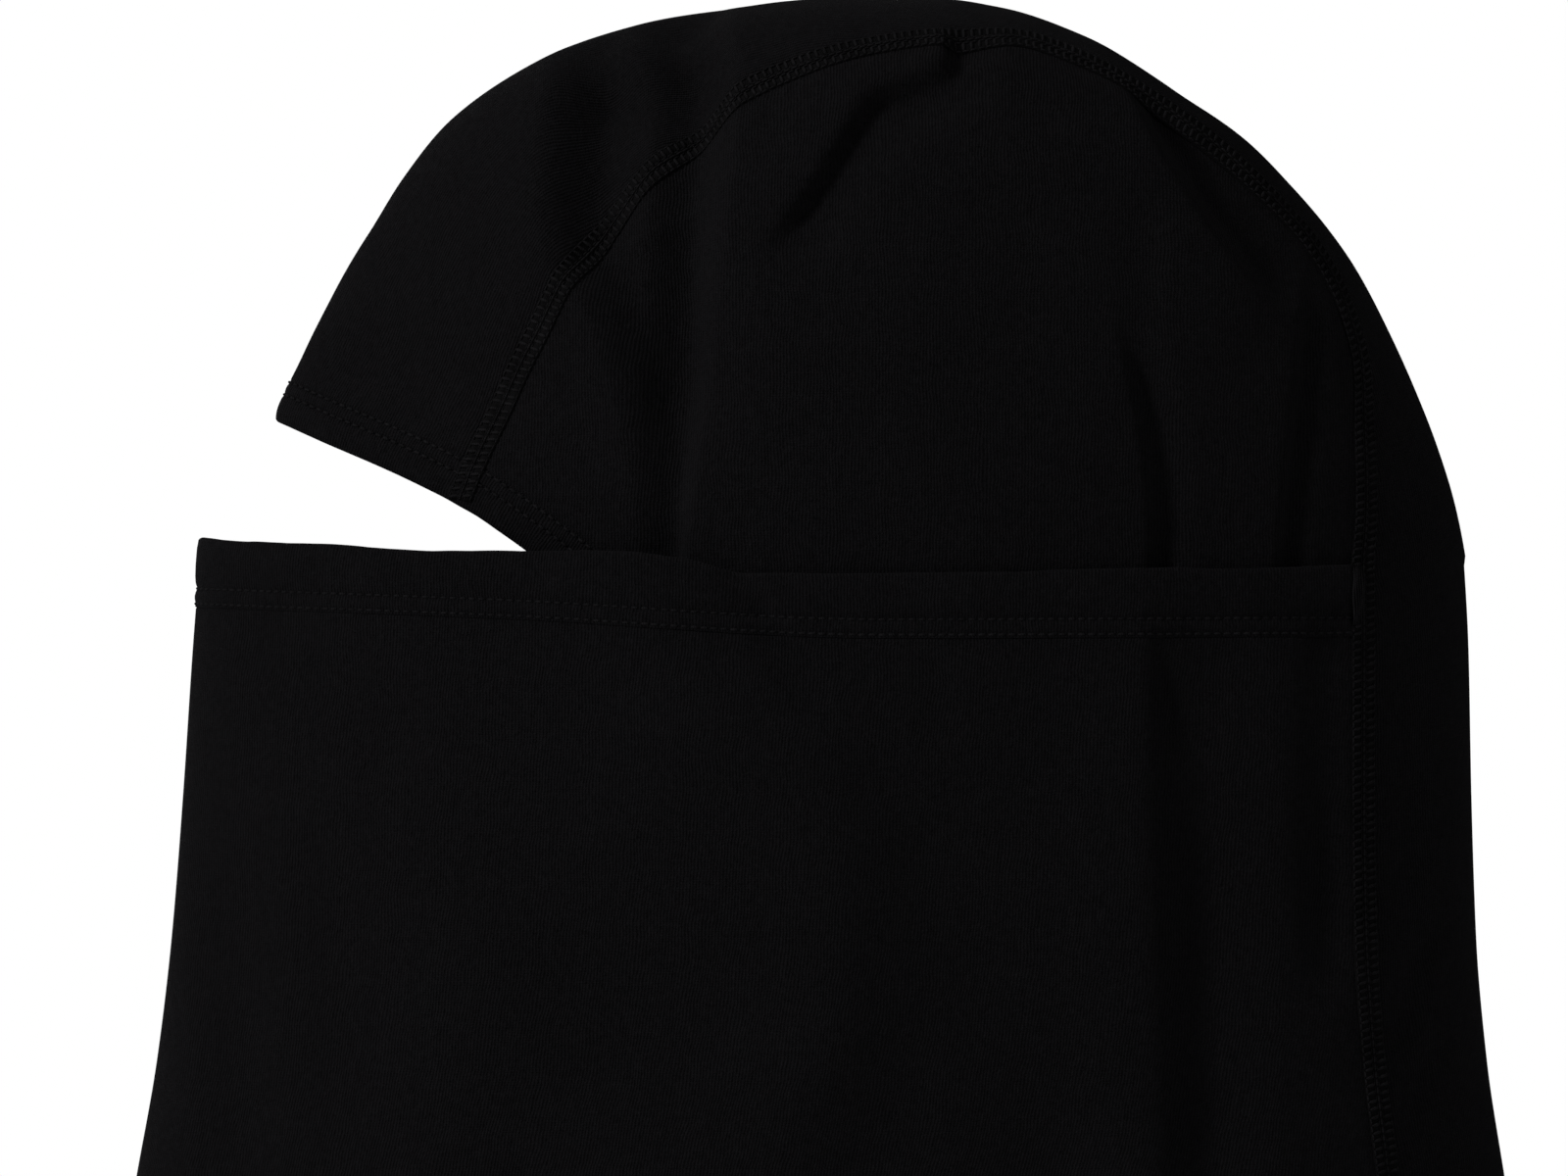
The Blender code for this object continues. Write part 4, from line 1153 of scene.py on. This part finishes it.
def build_bottom():
    rings = []
    for rise, h in bottom_section():
        points, _, along = bottom_at(rise, h)
        rings.append(points)
    sections = np.array(rings).transpose(1, 0, 2)
    n, m = sections.shape[:2]
    around = lengths(np.array(bottom_section()))
    uv = np.stack(np.broadcast_arrays(along[:, None], around[None]), axis=-1)
    flat = sections.reshape(-1, 3)
    faces = grid_faces(n, m, wrap_rows=True, wrap_columns=True)
    corners = flat[faces[:, :3]]
    normal = np.cross(corners[:, 1] - corners[:, 0], corners[:, 2] - corners[:, 0])
    inside = sections.mean(1)[faces[:, 0] // m]
    if (normal * (corners.mean(1) - inside)).sum() < 0:
        faces = faces[:, ::-1]
    return mesh_object("bottom_hem_fold", flat, faces, uv.reshape(-1, 2), KNIT)


bottom = build_bottom()


def bottom_stitch_run(rise, seed):
    points, normal, _ = bottom_at(rise, 0.0, 900)
    points, normal = np.vstack([points, points[:1]]), np.vstack([normal, normal[:1]])
    return stitches(points, normal, STITCH_PITCH, 0.82, 0.28, 0.32, lift=-0.02, jitter=0.05, seed=seed, tall=0.21)


bottom_stitches = {
    "upper": dashes("hem_needle_thread_upper", [bottom_stitch_run(15.5, 35)], THREAD),
    "lower": dashes("hem_needle_thread_lower", [bottom_stitch_run(12.4, 36)], THREAD),
}


# ---- flat seams ----
SEAM_OFFSETS = np.linspace(-3.2, 3.2, 17)


def seam_sheet(turn):
    """The cloth under one flat seam, brim to bottom hem: points for each offset across, and the way out."""
    top_a = corner(1.2)[0]
    a = np.concatenate([np.linspace(top_a, 0, 420), np.linspace(0, (BOTTOM_Z + 3.0 - HUB_Z) / PER_DEGREE, 300)[1:]])
    rho = seam_rho(a)
    radius = hood_radius(a)
    edge = strip_point(a, 1.0)
    z_low = np.minimum(edge[:, 2], -100.5)
    mix = seam_shift(edge[:, 2])[:, None]

    def panel(offset):
        y, z = hood_yz(a, rho - offset / radius)
        hood = np.column_stack([hood_half(*hood_direction(y, z)), y, z])
        return hood * (1 - mix) + neck_point(seam_s(z_low) - offset, z_low) * mix

    def strip_side(back):
        nape = strip_point(a, 1 - back)
        low = neck_point(seam_s(z_low), z_low)
        return nape * (1 - mix) + (nape + low - edge) * mix

    per_panel = np.linalg.norm(panel(1.0) - panel(0.0), axis=1)
    per_strip = np.linalg.norm(strip_side(0.01) - strip_side(0.0), axis=1) / 0.01
    rows = []
    for offset in SEAM_OFFSETS:
        rows.append(panel(offset / per_panel) if offset >= 0 else strip_side(-offset / per_strip))
    rows = np.array(rows)
    middle = len(SEAM_OFFSETS) // 2
    across = rows[middle + 4] - rows[middle - 4]
    along = np.gradient(rows[middle], axis=0)
    out = np.cross(along, across)
    out /= np.linalg.norm(out, axis=1)[:, None]
    centre = np.column_stack([np.zeros(len(a)), np.full(len(a), HUB_Y), np.minimum(edge[:, 2], HUB_Z)])
    out *= np.sign((out * (edge - centre)).sum(1))[:, None]
    w = brim_distance(edge[:, 1], edge[:, 2])
    rise = edge[:, 2] - BOTTOM_Z
    for k, offset in enumerate(SEAM_OFFSETS):
        x, y, z = rows[k].T
        hood = hood_relief(x * turn, y, z) * ease(np.abs(a) / 8.0) * (a > 0)
        neck = nape_relief(x * turn, y, z) * (a <= 0) * ease(-a / 8.0)
        relief = hood + neck - 0.35 * ease(1 - abs(offset) / 4.5)
        relief = relief + 0.35 * ease((9.3 - w) / 1.5) * (a > 90) + 0.35 * ease((17.5 - rise) / 1.5) * (a < 0)
        rows[k] = rows[k] + out * relief[:, None]
    flip = np.array([turn, 1, 1])
    return rows * flip, out * flip, lengths(rows[middle])


def band_section():
    """Across and up, around the flat seam's cover: cloth raised in the middle, with two needle lines sunk in."""
    up = [(-2.75, -0.2), (-2.62, 0.16), (-2.35, 0.24), (-1.9, 0.38), (-1.3, 0.42), (-0.8, 0.38), (-0.5, 0.28),
          (-0.2, 0.5), (0.0, 0.58), (0.2, 0.5), (0.5, 0.28), (0.8, 0.38), (1.3, 0.42), (1.9, 0.38), (2.35, 0.24),
          (2.62, 0.16), (2.75, -0.2)]
    return up + [(1.5, -0.7), (-1.5, -0.7)]


def build_seam(word, turn):
    rows, out, s = seam_sheet(turn)

    def on_seam(p, t, h):
        """Points at offset p across, distance t along and height h over the cloth; the arrays broadcast."""
        p, t, h = np.broadcast_arrays(np.asarray(p, float), np.asarray(t, float), np.asarray(h, float))
        f = np.clip((p - SEAM_OFFSETS[0]) / (SEAM_OFFSETS[1] - SEAM_OFFSETS[0]), 0, len(SEAM_OFFSETS) - 1.001)
        k = f.astype(int)
        f = (f - k)[..., None]
        g = np.clip(np.interp(t, s, np.arange(len(s))), 0, len(s) - 1.001)
        i = g.astype(int)
        g = (g - i)[..., None]
        low = rows[k, i] * (1 - g) + rows[k, i + 1] * g
        high = rows[k + 1, i] * (1 - g) + rows[k + 1, i + 1] * g
        up = out[i] * (1 - g) + out[i + 1] * g
        return low * (1 - f) + high * f + up * h[..., None]

    def way_out(t):
        return np.stack([np.interp(t, s, out[:, k]) for k in range(3)], axis=-1)

    t = np.linspace(0, s[-1], int(s[-1] / 1.15))
    ripple = 0.05 * np.sin(t * 2 * np.pi / (RUNG_PITCH * 2.1)) + 0.08 * soft_noise(t, 0 * t, 7, 61)
    sections = np.stack([on_seam(p, t, q + ripple) for p, q in band_section()], axis=1)
    around = lengths(np.array(band_section()))
    uv = np.stack(np.broadcast_arrays(t[:, None], around[None]), axis=-1)
    band = folded(f"flat_seam_cover_{word}", sections, uv, TAPE)
    capped(band, *sections.shape[:2])

    runs = []
    rng = np.random.default_rng(71 if turn > 0 else 72)
    n = int(s[-1] / RUNG_PITCH)
    mid = (np.arange(n) + 0.5) * s[-1] / n
    for side in (-1, 1):
        across = np.linspace(0.42, 2.36, 7) * side
        place = mid + rng.uniform(-0.10, 0.10, n) + (0.3 if side > 0 else 0.0)
        lean = np.linspace(-0.26, 0.26, 7) * side
        arch = 0.40 + 0.17 * (1 - np.linspace(-1, 1, 7) ** 2)
        centres = on_seam(across[None], np.clip(place[:, None] + lean[None], 0, s[-1]), arch[None])
        runs.append((centres, way_out(place), 0.33, 0.22))
    for offset, radius, sink in ((-2.4, 0.2, 0.2), (2.4, 0.2, 0.2), (-0.5, 0.17, 0.14), (0.5, 0.17, 0.14)):
        line = on_seam(offset, s, 0.26 if abs(offset) > 1 else 0.36)
        runs.append(stitches(line, out, RUNG_PITCH, 0.8, radius, sink, lift=0.03, jitter=0.05, seed=int(80 + offset * 4)))
    line = on_seam(0.0, s, 0.58)
    runs.append(stitches(line, out, RUNG_PITCH, 0.92, 0.25, 0.12, lift=0.0, jitter=0.04, seed=85, tall=0.2))
    threads = dashes(f"flat_seam_threads_{word}", runs, THREAD)
    return band, threads


seams = {word: build_seam(word, turn) for word, turn in (("left", 1), ("right", -1))}


# ---- bar tacks where the mask's hem meets the back seam ----
def build_tack(word, turn):
    z = np.linspace(-113.6, -126.0, 13)
    runs = []
    centre_s = seam_s(z)
    e = 0.3
    base = neck_point(centre_s, z)
    across = neck_point(centre_s + e, z) - neck_point(centre_s - e, z)
    across /= np.linalg.norm(across, axis=1)[:, None]
    down = np.tile([0.0, 0.0, -1.0], (len(z), 1))
    out = np.cross(across, down)
    out *= np.sign(out[:, :1] * 1.0)
    flip = np.array([turn, 1, 1])
    rng = np.random.default_rng(91 + turn)
    for k, offset in enumerate(np.linspace(-2.9, -0.6, 6)):
        top = rng.uniform(0.0, 0.9)
        t = np.linspace(top / 12, 1 - rng.uniform(0.0, 1.2) / 12, 9)
        rows = t * (len(z) - 1)
        pick = lambda a: np.stack([np.interp(rows, np.arange(len(z)), a[:, j]) for j in range(3)], axis=-1)
        arch = 0.85 + 0.25 * (1 - np.linspace(-1, 1, 9) ** 4) + rng.uniform(-0.05, 0.05)
        line = pick(base) + pick(across) * (offset + 0.15 * np.sin(t * 9 + k)[:, None]) + pick(out) * arch[:, None]
        runs.append(((line * flip)[None], (pick(out)[4] * flip)[None], 0.27, 0.24))
    return dashes(f"mask_corner_tack_{word}", runs, THREAD)


tacks = {word: build_tack(word, turn) for word, turn in (("left", 1), ("right", -1))}


def bake_modifiers(obj):
    """Turns the thickness into plain mesh."""
    depsgraph = bpy.context.evaluated_depsgraph_get()
    mesh = bpy.data.meshes.new_from_object(obj.evaluated_get(depsgraph), depsgraph=depsgraph)
    obj.modifiers.clear()
    obj.data = mesh
    return obj


for obj in [strip, mask_cloth] + [made for made, _ in SIDES.values()]:
    bake_modifiers(obj)

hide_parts("crown_panel", "fold_panel", "nape_panel")
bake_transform(strip)
for word in ("left", "right"):
    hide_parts(f"hood_side_{word}")
    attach(SIDES[word][0], "hood")
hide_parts("brim_hem")
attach(brim, "hood")
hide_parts("mask_panel", "neck_panel")
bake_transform(mask_cloth)
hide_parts("mask_top_hem")
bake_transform(mask_hem)
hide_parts("bottom_hem")
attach(bottom, "neck")
for row in ("outer", "inner"):
    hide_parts(f"brim_stitch_{row}")
    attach(brim_stitches[row], "hood")
for row in ("upper", "lower"):
    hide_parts(f"mask_stitch_{row}")
    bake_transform(mask_stitches[row])
    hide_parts(f"hem_stitch_{row}")
    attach(bottom_stitches[row], "neck")
for word in ("left", "right"):
    band, threads = seams[word]
    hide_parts(f"flatlock_hood_{word}", f"flatlock_neck_{word}")
    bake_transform(band)
    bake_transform(threads)
    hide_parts(f"corner_tack_{word}")
    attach(tacks[word], "neck")

for word in ("left", "right"):
    made, points = SIDES[word]


# ---- floor, light, camera ----
def plain_floor():
    mesh = bpy.data.meshes.new("floor")
    r, z = 1.6, float(CAD_LOW.z) - 0.0012
    corners = [(r * math.cos(t), r * math.sin(t), z) for t in np.linspace(0, 2 * math.pi, 97)[:-1]]
    mesh.from_pydata(corners, [], [list(range(96))])
    obj = bpy.data.objects.new("floor", mesh)
    bpy.context.scene.collection.objects.link(obj)
    made, tree, shader = nodes_of("pale_floor")
    place = add(tree, "ShaderNodeTexCoord").outputs["Object"]
    grain = add(tree, "ShaderNodeTexNoise", Vector=place, Scale=90.0, Detail=4.0).outputs["Fac"]
    ramp_node = add(tree, "ShaderNodeMapRange", Value=grain, **{"To Min": 0.80, "To Max": 0.84})
    mix = add(tree, "ShaderNodeCombineColor")
    for k in range(3):
        tree.links.new(ramp_node.outputs[0], mix.inputs[k])
    tree.links.new(mix.outputs[0], shader.inputs["Base Color"])
    shader.inputs["Roughness"].default_value = 0.8
    obj.data.materials.append(made)
    return obj


plain_floor()


def softbox(name, place, target, size, power, colour=(1, 1, 1), shape="RECTANGLE"):
    light = bpy.data.lights.new(name, "AREA")
    light.shape = shape
    light.size, light.size_y = size
    light.energy = power
    light.color = colour
    obj = bpy.data.objects.new(name, light)
    obj.location = place
    way = Vector(target) - Vector(place)
    obj.rotation_mode = "QUATERNION"
    obj.rotation_quaternion = way.to_track_quat("-Z", "Y")
    bpy.context.scene.collection.objects.link(obj)
    return obj


MIDDLE = (0, -0.02, -0.13)
softbox("key_softbox", (0.98, -1.62, 0.85), MIDDLE, (0.4, 0.4), 19)
softbox("fill_softbox", (2.0, 0.9, 0.9), MIDDLE, (1.0, 1.0), 1.6)
softbox("top_softbox", (0.2, -0.3, 1.7), MIDDLE, (1.0, 1.0), 4)
softbox("rear_softbox", (-1.6, -0.9, 0.6), MIDDLE, (1.2, 1.2), 2.5)
softbox("back_softbox", (0.9, 2.0, 0.5), MIDDLE, (0.8, 0.8), 4)

world = bpy.data.worlds.new("studio")
world.use_nodes = True
bpy.context.scene.world = world
tree = world.node_tree
tree.nodes.clear()
path = tree.nodes.new("ShaderNodeLightPath")
seen = tree.nodes.new("ShaderNodeBackground")
seen.inputs[0].default_value = (1, 1, 1, 1)
seen.inputs[1].default_value = 1.0
lit = tree.nodes.new("ShaderNodeBackground")
lit.inputs[0].default_value = (1, 1, 1, 1)
lit.inputs[1].default_value = 0.022
mixed = tree.nodes.new("ShaderNodeMixShader")
result = tree.nodes.new("ShaderNodeOutputWorld")
tree.links.new(path.outputs["Is Camera Ray"], mixed.inputs[0])
tree.links.new(lit.outputs[0], mixed.inputs[1])
tree.links.new(seen.outputs[0], mixed.inputs[2])
tree.links.new(mixed.outputs[0], result.inputs[0])
bpy.context.scene.view_settings.view_transform = "Standard"

camera_data = bpy.data.cameras.new("photo_camera")
camera_data.sensor_width = 36.0
camera_data.lens = 337.5
camera_data.clip_end = 50.0
camera = bpy.data.objects.new("photo_camera", camera_data)
camera.location = (3.0, -0.020, -0.1185)
camera.rotation_mode = "QUATERNION"
camera.rotation_quaternion = Vector((-1, 0, 0)).to_track_quat("-Z", "Y")
bpy.context.scene.collection.objects.link(camera)
bpy.context.scene.camera = camera
